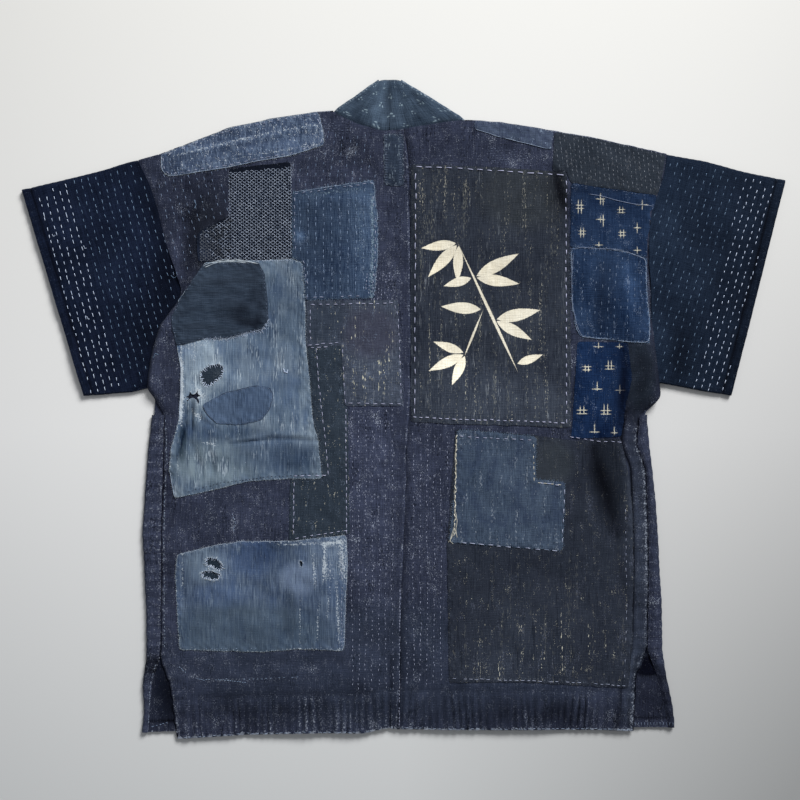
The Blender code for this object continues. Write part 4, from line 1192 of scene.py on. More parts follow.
patch("faded_large", "left",
    cotton("faded stripe", (54, 70, 89), (95, 112, 131),
        [deep_areas, grey_areas, dyed((104, 119, 128), 0.6, -236, -66, 60, 30),
            dyed((146, 162, 177), 0.25, -252, 56, 28, 32), dyed((80, 94, 110), 0.35, -138, 130, 36, 56),
            dyed((78, 95, 118), 0.5, -182, 44, 54, 60), dyed((64, 80, 104), 0.45, -162, -52, 56, 26),
            dyed((54, 70, 80), 0.8, -276, -42, 5, 24), pale_stripes, dark_stripes, dark_streaks,
            pale_streaks],
        warp=0.8, weft=0.08, worn=WHITE_RIM, cloud=0.5, wear=0.85, grid=0.35, fade=INDIGO_FADE),
    111, columns=11.0, depth=0.15, worn=0.5, hole_wear=0.4,
    # Among these tones, the deep narrow ones at the lower left are painted shade along the patch's folds;
    # the paler ones are its fading.
    tones=[(-250, 82, 40, 22, 0.45), (-200, -62, 60, 22, -0.1), (-125, -60, 34, 24, -0.55),
        (-118, 60, 16, 110, 0.22), (-255, 35, 26, 40, 0.3), (-225, 40, 30, 18, 0.4),
        (-272, -45, 9, 30, -0.3), (-232, -2, 26, 12, 0.45), (-165, -38, 60, 6, 0.2),
        (-150, 140, 40, 30, -0.3), (-145, 12, 24, 40, 0.2), (-240, -80, 34, 14, 0.25),
        (-175, 30, 14, 40, 0.25), (-215, -30, 50, 10, -0.35), (-150, 0, 20, 40, -0.15),
        (-190, 95, 30, 20, -0.25), (-258, -20, 6, 26, -0.15), (-250, -58, 20, 10, 0.3),
        (-210, 88, 34, 10, 0.4), (-150, -15, 40, 16, 0.12), (-205, -78, 60, 8, 0.1),
        (-264, 24, 12, 10, 0.35)],
    rubs=[(-232, 88, -206, 96, 5, 0.75), (-262, 72, -262, 60, 6, 0.5), (-277, 84, -278, -20, 1.8, 0.8),
        (-264, -1, -252, -13, 3.4, 0.75), (-252, -41, -232, -44, 1.8, 0.7), (-272, 80, -240, 88, 7, 0.5),
        (-276, 60, -276, -10, 2, 0.6), (-262, 30, -246, 12, 5, 0.6), (-240, 8, -205, -10, 4, 0.5),
        (-282, -60, -281, -85, 1.6, 0.6)],
    holes=[[(-254, 46), (-248, 52), (-242, 55), (-229, 57), (-224, 52), (-226, 42), (-236, 32), (-247, 27),
        (-253, 37)],
        [(-276, 14), (-268, 18), (-267, 24), (-264.5, 18.5), (-261, 19), (-256, 27), (-257, 19), (-252, 17),
            (-257.5, 15), (-254, 11), (-256.5, 5), (-259, 12.5), (-265, 14.5), (-272, 9), (-267, 15)]])
patch("shoulder_left", "left",
    cotton("faded shoulder", (27, 39, 63), (81, 96, 121),
        [dark_stripes, clouded((112, 128, 150), scale=(260, 90), low=0.5, high=0.6, amount=0.4),
            dark_streaks, specks],
        worn=WHITE_RIM, wear=0.85),
    101, columns=6.5, slope=-0.12, rag=0.4, worn=0.5,
    tones=[(-230, 326, 80, 7, 0.15), (-150, 345, 40, 6, 0.3), (-290, 300, 14, 20, -0.3),
        (-200, 347, 80, 5, -0.2), (-130, 330, 40, 8, 0.3)],
    rubs=[(-286, 317, -228, 331, 1.8, 0.7), (-228, 331, -170, 345, 1.8, 0.75),
        (-170, 345, -106, 356, 1.8, 0.65), (-285, 299, -222, 311, 1.6, 0.5),
        (-222, 311, -104, 332, 1.6, 0.5), (-112, 330, -107, 354, 3, 0.4)])
patch("faded_lower", "left",
    cotton("faded lower", (50, 64, 86), (86, 101, 123),
        [deep_areas, pale_stripes, dark_stripes, dyed((62, 82, 118), 0.5, -188, -184, 28, 26),
            dyed((66, 86, 120), 0.35, -228, -232, 36, 18), dyed((122, 138, 164), 0.4, -130, -212, 26, 22),
            dyed((74, 89, 101), 0.5, -200, -278, 110, 38), dyed((108, 124, 138), 0.35, -250, -192, 26, 26),
            dyed((54, 66, 80), 0.5, -142, -257, 9, 36), dark_streaks,
            flecked((126, 142, 158), (760, 60), (60, 24), 0.45, 0.35)],
        warp=0.7, weft=0.1, worn=WHITE_RIM, wear=0.85, grid=0.45, fade=INDIGO_FADE),
    121, columns=12.0, depth=0.15, worn=0.5, hole_wear=0.55,
    tones=[(-85, -190, 18, 34, 0.6), (-238, -198, 30, 22, 0.4), (-180, -285, 120, 30, -0.2),
        (-165, -170, 30, 24, -0.45), (-120, -180, 16, 20, 0.3), (-265, -240, 16, 50, -0.15),
        (-200, -230, 40, 20, 0.15), (-110, -225, 20, 30, -0.15), (-272, -200, 8, 20, -0.2)],
    rubs=[(-78, -166, -76, -212, 5, 0.75), (-100, -170, -76, -164, 4, 0.7),
        (-276, -180, -276, -240, 2, 0.5), (-160, -170, -90, -166, 2, 0.6),
        (-84, -215, -80, -300, 1.8, 0.75), (-94, -190, -92, -215, 6, 0.5),
        (-98, -168, -100, -215, 2.4, 0.8), (-113, -180, -110, -222, 2.4, 0.7),
        (-106, -240, -108, -290, 1.6, 0.6), (-128, -225, -130, -300, 1.3, 0.55),
        (-92, -222, -96, -262, 1.5, 0.6)],
    holes=[[(-248, -186), (-240, -184), (-231, -188), (-225, -197), (-231, -202), (-240, -197),
        (-246, -195)],
        [(-254, -204), (-244, -200), (-235, -203), (-227, -206), (-233, -214), (-244, -212), (-252, -209)],
        [(-130, -188), (-126, -189), (-125.5, -196), (-129, -197)]])
patch("shoulder_right", "right",
    cotton("faded right shoulder", (40, 50, 68), (82, 93, 114),
        [clouded((52, 60, 82), scale=(120, 90), low=0.48, high=0.6, amount=0.6),
            flecked((140, 156, 176), (300, 200), (120, 60), 0.42, 0.45)],
        worn=WHITE_RIM, wear=0.85),
    131, columns=7.5, worn=0.3, rubs=[(92, 338, 186, 311, 1.3, 0.7)])


# ---------------- plain indigo patches
# Blue and charcoal cottons of plain weave. The charcoal one and the leaf-shaped one lie on the large
# faded patch.

fine_specks = flecked((116, 130, 152), (820, 560), (120, 60), 0.46, 0.4)
patch("blue_stitched", "left",
    cotton("stitched blue", (26, 40, 64), (65, 81, 103), [fine_specks], warp=0.8, worn=(140, 160, 172),
        wear=0.8),
    141, columns=10.0, rag=1.3, worn=0.4,
    tones=[(-44, 215, 20, 80, 0.6), (-115, 215, 30, 80, -0.2), (-128.5, 217, 6.5, 6, 1.5),
        (-80, 268, 50, 6, 0.35)],
    rubs=[(-40, 270, -38, 210, 2.6, 0.7), (-38, 210, -41, 140, 2.6, 0.7), (-132, 266, -44, 277, 2.2, 0.5),
        (-56, 265, -52, 170, 10, 0.3), (-134, 217, -123, 217, 5, 0.35)])
patch("neck_strip", "left",
    cotton("neck strip", (24, 32, 46), (54, 65, 82),
        [flecked((132, 146, 160), (620, 150), (110, 40), 0.52, 0.6)], weft=0.4),
    151, rag=1.2, worn=0.5, turn=0.0, swell=0.05, grow=2.6,
    tones=[(-4, 310, 3, 40, 0.3), (-14, 285, 12, 16, -0.2)])
patch("mid_blue", "right",
    cotton("mid blue", (8, 23, 46), (42, 60, 88), [fine_specks], cloud=0.8, worn=(110, 136, 170), wear=0.8),
    161, columns=5.0, depth=0.3, worn=0.65, rag=0.9,
    # The first two tones are a painted highlight on the ridge of the fold at the right and painted shade in
    # its trough; the other two are paler spots.
    tones=[(283, 150, 22, 44, 0.5), (258, 140, 12, 45, -0.3), (228, 150, 16, 50, 0.2),
        (246, 190, 40, 8, 0.2)])
patch("charcoal", "left",
    cotton("charcoal", (36, 46, 60), (60, 72, 88),
        [clouded((40, 48, 60), scale=(12, 60), low=0.45, high=0.65, amount=0.5)], warp=0.2, weft=0.8,
        worn=(96, 108, 122)),
    171, rag=0.5, grow=2.4, swell=0.35,
    # The deeper tones are painted shade in the patch's creases; the two paler ones lighten its left side.
    tones=[(-202, 122, 12, 9, -0.5), (-190, 108, 20, 5, -0.35), (-215, 138, 14, 8, -0.25),
        (-240, 110, 30, 10, 0.15), (-235, 165, 30, 14, 0.1), (-188, 150, 6, 30, -0.2),
        (-180, 112, 10, 20, -0.2)])
patch("leaf", "left",
    cotton("leaf blue", (52, 68, 92), (90, 108, 133), [dark_stripes, dark_streaks], warp=0.7, weft=0.12,
        grid=0.4, worn=(112, 128, 148), wear=0.7),
    181, worn=0.2, turn=0.05, tones=[(-176, -2, 20, 5, -0.2)])


# ---------------- slubbed patches
# Dark cottons flecked with thick pale lumps of hand-spun yarn, mostly up and down.

CREAM = (204, 202, 186)
patch("slub", "left",
    cotton("slub", (39, 46, 59), (77, 85, 101),
        [flecked((120, 126, 134), (900, 120), (330, 8), 0.54, 0.55),
            dyed((48, 59, 73), 0.5, -98, 106, 28, 28), dyed((58, 56, 72), 0.45, -40, 96, 38, 34),
            flecked(CREAM, (700, 170), (260, 9), 0.28, 0.9),
            only_at(flecked((206, 204, 182), (660, 160), (200, 9), 0.42, 0.85), -42, 40, 38, 27),
            fine_specks],
        weft=0.4),
    191, columns=10.0, tones=[(-40, 60, 34, 60, 0.2), (-95, 100, 40, 40, -0.2)])
patch("slub_strip", "left",
    cotton("slub strip", (34, 43, 54), (55, 65, 77),
        [flecked(CREAM, (800, 420), (240, 60), 0.27, 0.9), fine_specks]),
    201, columns=10.0)
patch("herringbone", "left", cotton("black ground", (6, 9, 18), (20, 26, 39)), 211, turn=0.0,
    tones=[(-252, 200, 14, 34, 1.6), (-228, 292, 8, 6, -0.4), (-165, 205, 20, 14, -0.5)])
patch("brown_sashiko", "right",
    cotton("brown", (25, 31, 40), (51, 58, 68),
        [flecked((96, 98, 102), (760, 500), (120, 60), 0.48, 0.45)]),
    221, columns=5.6, slope=-0.1)
patch("dark_lower", "right",
    cotton("dark lower", (29, 34, 45), (51, 57, 69),
        [flecked((96, 98, 96), (900, 120), (200, 6), 0.42, 0.45),
            flecked(CREAM, (1100, 700), (150, 60), 0.24, 0.7),
            only_at(flecked(CREAM, (900, 150), (190, 8), 0.3, 0.85), 170, -296, 110, 48),
            flecked((96, 102, 120), (820, 430), (90, 30), 0.42, 0.45),
            flecked((18, 23, 33), (420, 24), (60, 12), 0.5, 0.5), dyed((55, 61, 67), 0.6, 186, -68, 28, 32),
            # Painted shade in the trough of the fold down the patch's right side, mixed in as a dark
            # colour.
            dyed((22, 28, 36), 0.45, 256, -80, 22, 60)],
        warp=0.5),
    241,
    # The two deeper tones at x 230 to 255 are painted shade in that same fold; the others are paler and
    # deeper spots.
    tones=[(160, -290, 110, 40, 0.15), (110, -60, 60, 30, -0.2), (255, -100, 34, 60, -0.3),
        (120, -325, 60, 20, 0.3), (230, -300, 30, 50, -0.15), (230, -75, 16, 40, -0.3)],
    rubs=[(66, -300, 120, -330, 16, 0.22), (70, -334, 270, -342, 2.5, 0.3)])
patch("blue_corner", "right",
    cotton("grey blue", (47, 59, 77), (77, 91, 110),
        [clouded((48, 60, 82), scale=(60, 34), low=0.48, high=0.62, amount=0.6),
            flecked((150, 160, 172), (800, 240), (160, 20), 0.46, 0.6),
            flecked((32, 44, 62), (640, 160), (100, 20), 0.5, 0.6)],
        warp=0.8),
    271)


# ---------------- the two kasuri patches
# Deep blue cotton whose crosses and double crosses are woven from yarns that were bound before dyeing,
# so that their ends are feathered.

mark, taken, given = node_group("kasuri mark", "Cloth Place", "Wide Tall Gap Foot Mask", "Mask")
axes = axes_of(mark, vectors(mark, "SUBTRACT", taken["Cloth"], taken["Place"]))
BAR = 0.24 * MM  # half the width of a bar, before its edges fade
bars = []
for along, across, arm in (("X", "Y", "Wide"), ("Y", "X", "Tall")):
    aside = maths(mark, "SUBTRACT", maths(mark, "ABSOLUTE", axes[across]), taken["Gap"])
    thin = ranged(mark, maths(mark, "ABSOLUTE", aside), BAR, 2.6 * BAR, 1.0, 0.0)
    reach = maths(mark, "SUBTRACT", taken[arm], maths(mark, "ABSOLUTE", axes[along]))
    bars.append(maths(mark, "MULTIPLY", thin, ranged(mark, reach, 0.0, 3.2 * MM)))
above = ranged(mark, maths(mark, "ADD", axes["Y"], taken["Foot"]), -0.6 * MM, 0.2 * MM)
shown = maths(mark, "MULTIPLY", maths(mark, "MAXIMUM", *bars), above)
mark.links.new(maths(mark, "MAXIMUM", shown, taken["Mask"]), given["Mask"])


def stamped(tree, group, cloth, shapes):
    """All the places that a group marks, one after another, with each of these sets of inputs."""
    mask = 0.0
    for shape in shapes:
        links = {"Cloth": cloth, "Mask": mask, **shape}
        mask = shader_node(tree, "Group", links, node_tree=group).outputs["Mask"]
    return mask


def kasuri(marks):
    """A change to a cotton: woven marks. Each is x, y, half its width and height, half the space
    between its double bars or 0, and how far it reaches below its middle, in mm."""
    def change(tree, cloth, ground, threads):
        shapes = [{"Place": (x * MM, y * MM, 0.0), "Wide": wide * MM, "Tall": tall * MM, "Gap": gap * MM,
                   "Foot": foot * MM} for x, y, wide, tall, gap, foot in marks]
        mask = stamped(tree, mark, shaken(tree, cloth, 1100.0, 2.0 * MM), shapes)
        thin = maths(tree, "MULTIPLY", mask, maths(tree, "MULTIPLY_ADD", threads["Warp"], 0.5, 0.5))
        return mixed(tree, thin, ground, linear(226, 222, 200))
    return change


patch("kasuri_upper", "right",
    cotton("kasuri", (12, 28, 54), (42, 60, 88),
        [fine_specks,
            kasuri([(220, 253, 6, 9.5, 1.9, 9), (246, 263, 6.5, 8, 0, 9), (249.5, 260, 2.5, 6, 0, 9),
                (272, 248, 5.5, 6.5, 1.9, 2.5), (298, 255.5, 8.5, 7, 0, 9), (246, 237.5, 6.5, 5, 0, 9),
                (249.5, 236, 1.5, 8.5, 0, 9), (223, 221, 5.5, 7, 1.8, 9), (273, 219.5, 5.5, 6, 1.9, 9),
                (292, 227, 5.5, 7, 0, 9), (244, 205.5, 6, 5, 0, 1.5), (292, 199, 5.5, 5, 0, 9)])],
        warp=0.5, cloud=0.6, worn=(90, 120, 160)),
    251, columns=10.0, depth=0.15, tones=[(250, 275, 60, 6, -0.35), (262, 235, 30, 40, 0.12)])
patch("kasuri_lower", "right",
    cotton("dark kasuri", (4, 19, 46), (29, 50, 84),
        [fine_specks,
            kasuri([(243.5, 78.5, 7, 6, 0, 1.8), (269.5, 78.5, 5.5, 5, 0, 2.2), (229, 51.5, 6.5, 5, 2, 9),
                (257.5, 52.5, 6.5, 9.5, 1.9, 2.6), (242, 25.5, 7, 10, 0, 1.6), (270, 24, 7, 7.5, 0, 3.4),
                (223, -3, 7.5, 8, 2.2, 2.8), (252.5, -3.5, 7.5, 11, 2.2, 2.6), (238.5, -28, 7, 11, 0, 1.4),
                (263, -29, 5, 8.5, 0, 2.6)])],
        warp=0.5, cloud=0.6, worn=(40, 62, 98), wear=0.5),
    # The first tone is painted shadow of the fold along the patch's right edge; the second is a paler spot.
    261, columns=10.0, depth=0.15, worn=0.4, tones=[(277, 20, 14, 70, -0.55), (236, 30, 20, 50, 0.3)])


# ---------------- the large black patch
# Nearly black slubbed cotton, with a spray of bamboo leaves stencilled on it in ivory pigment.

leaf, taken, given = node_group("bamboo leaf", "Cloth Place", "Angle Length Width Mask", "Mask")
offset = vectors(leaf, "SUBTRACT", taken["Cloth"], taken["Place"])
back = maths(leaf, "MULTIPLY", taken["Angle"], -1.0)
turned = shader_node(leaf, "VectorRotate", {"Vector": offset, "Angle": back}, rotation_type="Z_AXIS")
axes = axes_of(leaf, turned.outputs[0])
share = maths(leaf, "DIVIDE", axes["X"], taken["Length"])
along = maths(leaf, "SUBTRACT", 1.0, maths(leaf, "MULTIPLY", maths(leaf, "MULTIPLY", share, share), 4.0))
lean = maths(leaf, "MAXIMUM", maths(leaf, "MULTIPLY_ADD", share, -0.7, 1.0), 0.3)
half = maths(leaf, "MULTIPLY", taken["Width"], 0.5)
edge = maths(leaf, "MULTIPLY", maths(leaf, "MULTIPLY", along, lean), half)
inner = maths(leaf, "SUBTRACT", edge, maths(leaf, "ABSOLUTE", axes["Y"]))
full = ranged(leaf, inner, -0.15 * MM, 0.35 * MM)
leaf.links.new(maths(leaf, "MAXIMUM", full, taken["Mask"]), given["Mask"])

# Two stems as x, y, direction, length and width, then where leaves spring from them, with the
# leaves' directions, lengths and widths, in mm and degrees
STEMS = [(105, 128, 115, 178, 3.6), (88, 96, 68, 62, 2.8)]
SPRAYS = [(69, 208, [(188, 44, 12), (228, 54, 14), (268, 46, 12)]),
    (88, 165, [(28, 60, 15), (352, 54, 14), (196, 36, 11)]), (113, 112, [(12, 56, 15), (332, 50, 13)]),
    (78, 70, [(160, 40, 11), (205, 48, 13), (246, 40, 12)]), (100, 125, [(176, 50, 14)]),
    (139, 56, [(20, 34, 10)])]


def bamboo(tree, cloth, ground, threads):
    """Ivory pigment, thinner where the cloth's threads stand up."""
    shapes = list(STEMS)
    for x, y, leaves in SPRAYS:
        for turn, length, width in leaves:
            reach = 3.5 + length / 2
            angle = math.radians(turn)
            shapes.append((x + reach * math.cos(angle), y + reach * math.sin(angle), turn, length, width))
    shapes = [{"Place": (x * MM, y * MM, 0.0), "Angle": math.radians(turn), "Length": length * MM,
               "Width": width * MM} for x, y, turn, length, width in shapes]
    mask = stamped(tree, leaf, shaken(tree, cloth, 700.0, 1.2 * MM), shapes)
    tone = maths(tree, "MULTIPLY_ADD", threads["Cloud"], 0.5, maths(tree, "MULTIPLY", threads["Warp"], 0.5))
    pigment = mixed(tree, tone, linear(220, 210, 186), linear(244, 239, 222))
    return mixed(tree, maths(tree, "MULTIPLY", mask, 0.97), ground, pigment)


patch("black_large", "right",
    cotton("black", (29, 34, 45), (55, 61, 72),
        [flecked((104, 106, 102), (800, 160), (110, 7), 0.46, 0.5),
            flecked((122, 128, 136), (900, 60), (120, 10), 0.38, 0.45),
            dyed((52, 56, 57), 0.4, 150, 268, 60, 44),
            flecked((178, 176, 162), (1000, 260), (160, 6), 0.31, 0.62),
            dyed((38, 44, 54), 0.7, 11, 210, 9, 110),
            only_at(flecked((170, 168, 154), (1000, 240), (170, 24), 0.38, 0.55), 62, 268, 40, 32), bamboo],
        warp=0.7, cloud=0.55),
    231,
    # The tone at 192, 262 is painted shadow in the fold by the patch's upper right edge.
    tones=[(110, 10, 110, 50, 0.75), (40, 150, 30, 100, 0.1), (192, 262, 12, 40, -0.45),
        (120, 230, 60, 60, -0.05)])


# ---------------- stitches
# Running stitches of cotton thread that hold the patches down and quilt the layers together. Each is
# a short rounded length of thread with its ends sunk into the cloth.

every_cloth = tops([cloth for group in (bodies, sleeves, collars, *patch_cloths.values())
                    for cloth in group.values()])
# Along a stitch: places as shares of its length, then heights and girths as shares of its radius
BEND = np.array([-0.5, -0.36, 0.0, 0.36, 0.5])
RISE = np.array([-0.9, 0.35, 0.7, 0.35, -0.9])
GIRTH = np.array([0.15, 0.9, 1.0, 0.9, 0.15])
FINE = 0.4 * MM  # thinner stitches than this have four sides, not five


def thread(name, colour, shade):
    """Cotton thread, between two colours from place to place."""
    made, tree, shader = new_material(name)
    place = shader_node(tree, "TexCoord").outputs["Object"]
    noise = shader_node(tree, "TexNoise", {"Vector": place, "Scale": 260.0, "Detail": 2.0}).outputs["Fac"]
    mix = mixed(tree, ranged(tree, noise, 0.3, 0.7), linear(*shade), linear(*colour))
    tree.links.new(mix, shader["Base Color"])
    shader["Roughness"].default_value = 0.85
    return made


THREADS = {kind: thread(kind + " thread", colour, shade) for kind, colour, shade in [
    ("white", (210, 222, 242), (158, 174, 200)), ("lilac", (182, 184, 208), (136, 140, 166)),
    ("lavender", (176, 182, 204), (120, 128, 152)), ("pale", (188, 196, 202), (120, 134, 146)),
    ("steel", (118, 144, 172), (70, 92, 118)), ("sky", (134, 152, 178), (92, 112, 140)),
    ("blue", (120, 132, 156), (72, 84, 108)), ("navy", (44, 54, 76), (26, 34, 52)),
    ("grey", (124, 130, 140), (80, 87, 98)), ("silver", (190, 202, 222), (98, 111, 134)),
    ("worn", (162, 176, 196), (106, 122, 146)), ("ivory", (220, 217, 202), (172, 168, 152))]}


def swept(name, paths, girths, material, sides=5):
    """Threads along paths of points, each point with its own radius, joined in one piece."""
    paths, girths = np.asarray(paths), np.asarray(girths)
    count, steps = paths.shape[:2]
    along = np.gradient(paths, axis=1)
    along /= np.maximum(np.linalg.norm(along, axis=2), 1e-9)[..., None]
    beside = np.cross(along, (0.0, 0.0, 1.0))
    beside /= np.maximum(np.linalg.norm(beside, axis=2), 1e-9)[..., None]
    over = np.cross(beside, along)
    turn = np.arange(sides) / sides * 2 * math.pi
    ring = (beside[:, :, None] * np.cos(turn)[:, None] + over[:, :, None] * np.sin(turn)[:, None])
    points = (paths[:, :, None] + ring * girths[:, :, None, None]).reshape(-1, 3)
    index = np.arange(count * steps * sides).reshape(count, steps, sides)
    nxt = np.roll(index, -1, 2)
    quads = np.stack([index[:, :-1], nxt[:, :-1], nxt[:, 1:], index[:, 1:]], -1).reshape(-1, 4)
    mesh = bpy.data.meshes.new(name)
    mesh.from_pydata(points.tolist(), [], quads.tolist())
    mesh.shade_smooth()
    mesh.materials.append(material)
    obj = bpy.data.objects.new(name, mesh)
    bpy.context.scene.collection.objects.link(obj)
    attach(obj, "root")
    return obj


def stitches(name, dashes, radius, kind):
    """Stitches from rows of x, y, direction and length, in metres and radians."""
    dashes = np.asarray(dashes)
    radius = radius * MM
    paths = []
    for x, y, angle, length in dashes:
        step = np.array([math.cos(angle), math.sin(angle)]) * length
        line = np.array([x, y]) + BEND[:, None] * step
        heights = [top_at(every_cloth, px, py) for px, py in line]
        if None not in heights:
            paths.append(np.column_stack([line, np.array(heights) + RISE * radius]))
    paths = np.array(paths)
    girths = np.broadcast_to(GIRTH * radius, paths.shape[:2])
    return swept(name, paths, girths, THREADS[kind], 4 if radius < FINE else 5)


def quilting(zone, angle, spacing, pitch, dash, seed, keep=1.0, sway_by=0.0, start=None):
    """Dashes in rows inside a zone. angle is the rows' direction in degrees; spacing between the rows,
    pitch between the stitches of a row and dash, the length of one, are in mm."""
    draw = np.random.default_rng(seed)
    zone = MM * np.array(zone)
    angle = math.radians(angle)
    way = np.array([math.cos(angle), math.sin(angle)])
    square = np.array([-way[1], way[0]])
    origin = zone.mean(0) if start is None else MM * np.array(start)
    reach = np.linalg.norm(zone - origin, axis=1).max()
    rows, steps = int(reach / (spacing * MM)) + 1, int(reach / (pitch * MM)) + 1
    dashes = []
    for row in range(-rows, rows + 1):
        shift = draw.uniform(0, pitch)
        for step in range(-steps, steps + 1):
            jitter = draw.normal(0, 1, 4)
            along = (step * pitch + shift + 0.12 * pitch * jitter[0]) * MM
            beside = (row * spacing + 0.05 * spacing * jitter[1]) * MM
            beside += sway_by * MM * math.sin(along / 0.03 + row)
            place = origin + way * along + square * beside
            if draw.uniform() < keep and within(place[0], place[1], zone):
                length = dash * MM * (1 + 0.15 * jitter[2])
                dashes.append((place[0], place[1], angle + 0.06 * jitter[3], length))
    return dashes


def running(line, pitch, dash, seed, keep=1.0):
    """Dashes along a line of places in mm."""
    draw = np.random.default_rng(seed)
    line = MM * np.array(line)
    lengths = lengths_along(line)
    dashes = []
    at = 0.5 * pitch * MM
    while at < lengths[-1]:
        x, y = [np.interp(at, lengths, line[:, k]) for k in (0, 1)]
        k = min(int(np.searchsorted(lengths, at)), len(line) - 1)
        way = line[k] - line[k - 1]
        if draw.uniform() < keep:
            place = np.array([x, y]) + draw.normal(0, 0.25 * MM, 2)
            dashes.append((*place, math.atan2(way[1], way[0]) + draw.normal(0, 0.05),
                           dash * MM * draw.uniform(0.8, 1.2)))
        at += pitch * MM * draw.uniform(0.88, 1.12)
    return dashes


def sewn(name, radius, kind, *rows):
    """Running stitches in one piece: rows of the line, pitch, dash, seed and, where some of the
    stitches are missing, the share that is left."""
    stitches(name, [dash for row in rows for dash in running(*row)], radius, kind)


def round_edge(node, inset, pitch, dash, seed, keep=1.0):
    """Dashes all round a patch, this far in from its edge."""
    loop = along_loop(patch_loops[node], 4 * MM)
    inner = loop - outward_of(loop) * inset * MM
    return running(np.vstack([inner, inner[:1]]) / MM, pitch, dash, seed, keep)


stitches("left_cuff_stitches",
    quilting([(-461, 268), (-420, 281), (-348, 20), (-391, 20)], -75.2, 8.9, 9.2, 4.9, 1,
        start=(-456, 268)),
    0.4, "white")
stitches("left_sleeve_stitches",
    quilting([(-418, 281), (-405, 290), (-338, 306), (-321, 279), (-311, 250), (-302, 212), (-291, 180),
        (-282, 150), (-286, 134), (-304, 108), (-319, 66), (-322, 26), (-350, 22)],
        -75.2, 9.3, 9.4, 4.8, 2, keep=0.95, start=(-456, 268)),
    0.34, "steel")
stitches("right_cuff_stitches",
    quilting([(466, 279), (424, 291), (358, 24), (400, 20)], 72.3, 8.7, 9.2, 4.4, 3, start=(461, 276)), 0.4,
    "white")
stitches("right_sleeve_stitches",
    quilting([(422, 291), (335, 312), (312, 240), (311, 130), (322, 38), (356, 26)], 72.3, 9.4, 9.6, 4.5, 4,
        keep=0.9, start=(461, 276)),
    0.32, "steel")

stitches("body_quilting",
    quilting([(-68, 2), (-8, 2), (-10, -350), (-70, -350)], 90, 8.4, 6.2, 2.8, 5, keep=0.8, sway_by=0.8)
    + quilting([(8, -26), (56, -28), (52, -344), (2, -344)], 90, 8.6, 6.4, 2.8, 6, keep=0.8, sway_by=0.8)
    + quilting([(-50, 172), (-14, 172), (-14, 134), (-46, 134)], 85, 4.0, 4.4, 2.6, 26, keep=0.7),
    0.29, "lavender")
stitches("right_shoulder_quilting",
    quilting([(104, 330), (160, 322), (154, 302), (112, 308)], 4, 3.0, 4.4, 2.6, 25, keep=0.7), 0.2, "blue")
stitches("neck_quilting",
         quilting([(-106, 366), (-68, 350), (-58, 340), (-104, 350)], 2, 3.2, 4.6, 3.0, 27, keep=0.8)
         + [(x * MM, y * MM, 0.1 * math.sin(y), 4.4 * MM) for x in (-22.0, -4.0)
            for y in np.arange(284, 348, 3.1)],
         0.22, "blue")
stitches("upper_left_quilting",
    quilting([(-309, 300), (-222, 306), (-218, 245), (-258, 222), (-262, 190), (-282, 150), (-300, 212)],
        104, 9.5, 10.0, 4.2, 8, keep=0.92)
    + quilting([(-139, 312), (-92, 322), (-98, 350), (-39, 343), (-34, 284), (-92, 276), (-134, 277)], 82,
        9.4, 10.5, 4.4, 7, keep=0.85),
    0.27, "sky")
stitches("blue_patch_quilting",
    quilting([(-134, 265), (-40, 280), (-36, 190), (-42, 143), (-120, 141), (-122, 186), (-134, 192)], 90,
        10.0, 8.7, 4.8, 9, sway_by=0.5),
    0.34, "sky")
stitches("patch_quilting",
    quilting([(213, 197), (283, 192), (300, 184), (300, 90), (226, 95), (216, 130)], 88, 8.0, 10.0, 4.2, 10,
        keep=0.6)
    + quilting([(-296, 330), (-116, 368), (-104, 345), (-104, 334), (-142, 322), (-223, 307), (-290, 296)],
        100, 6.5, 7.0, 4.0, 11, keep=0.7),
    0.28, "sky")
stitches("brown_patch_quilting",
    quilting([(192, 352), (334, 322), (322, 310), (320, 290), (312, 272), (211, 288), (206, 302),
        (190, 303)],
        96, 5.6, 6.6, 3.7, 12, keep=0.95),
    0.32, "grey")


def zigzags(zone, row, period, seed):
    """The limbs of rows of small zigzags inside a zone."""
    draw = np.random.default_rng(seed)
    zone = MM * np.array(zone)
    low, high = zone.min(0), zone.max(0)
    dashes = []
    y = low[1] + 0.5 * row * MM
    shift = 0.0
    while y < high[1]:
        x = low[0] + shift * period * MM
        shift = (shift + 0.5) % 1
        rising = 1
        while x < high[0]:
            if within(x, y, zone):
                dashes.append((x + draw.normal(0, 0.12 * MM), y + draw.normal(0, 0.12 * MM), rising * 0.63,
                               period * MM * 0.6))
            x += period * MM / 2
            rising = -rising
        y += row * MM
    return dashes


bright, dim = [], []
fading = np.random.default_rng(24)
for dash in zigzags([(-219, 296), (-140, 303), (-138, 186), (-255, 185), (-256, 214), (-252, 222),
                     (-218, 240)],
                    2.15, 5.9, 13):
    kept = fading.uniform() < np.interp(dash[0] / MM, [-246, -212], [0.1, 1.0])
    (bright if kept else dim).append(dash)
stitches("herringbone_stitches", bright, 0.245, "silver")
stitches("herringbone_wing_stitches", dim, 0.22, "grey")

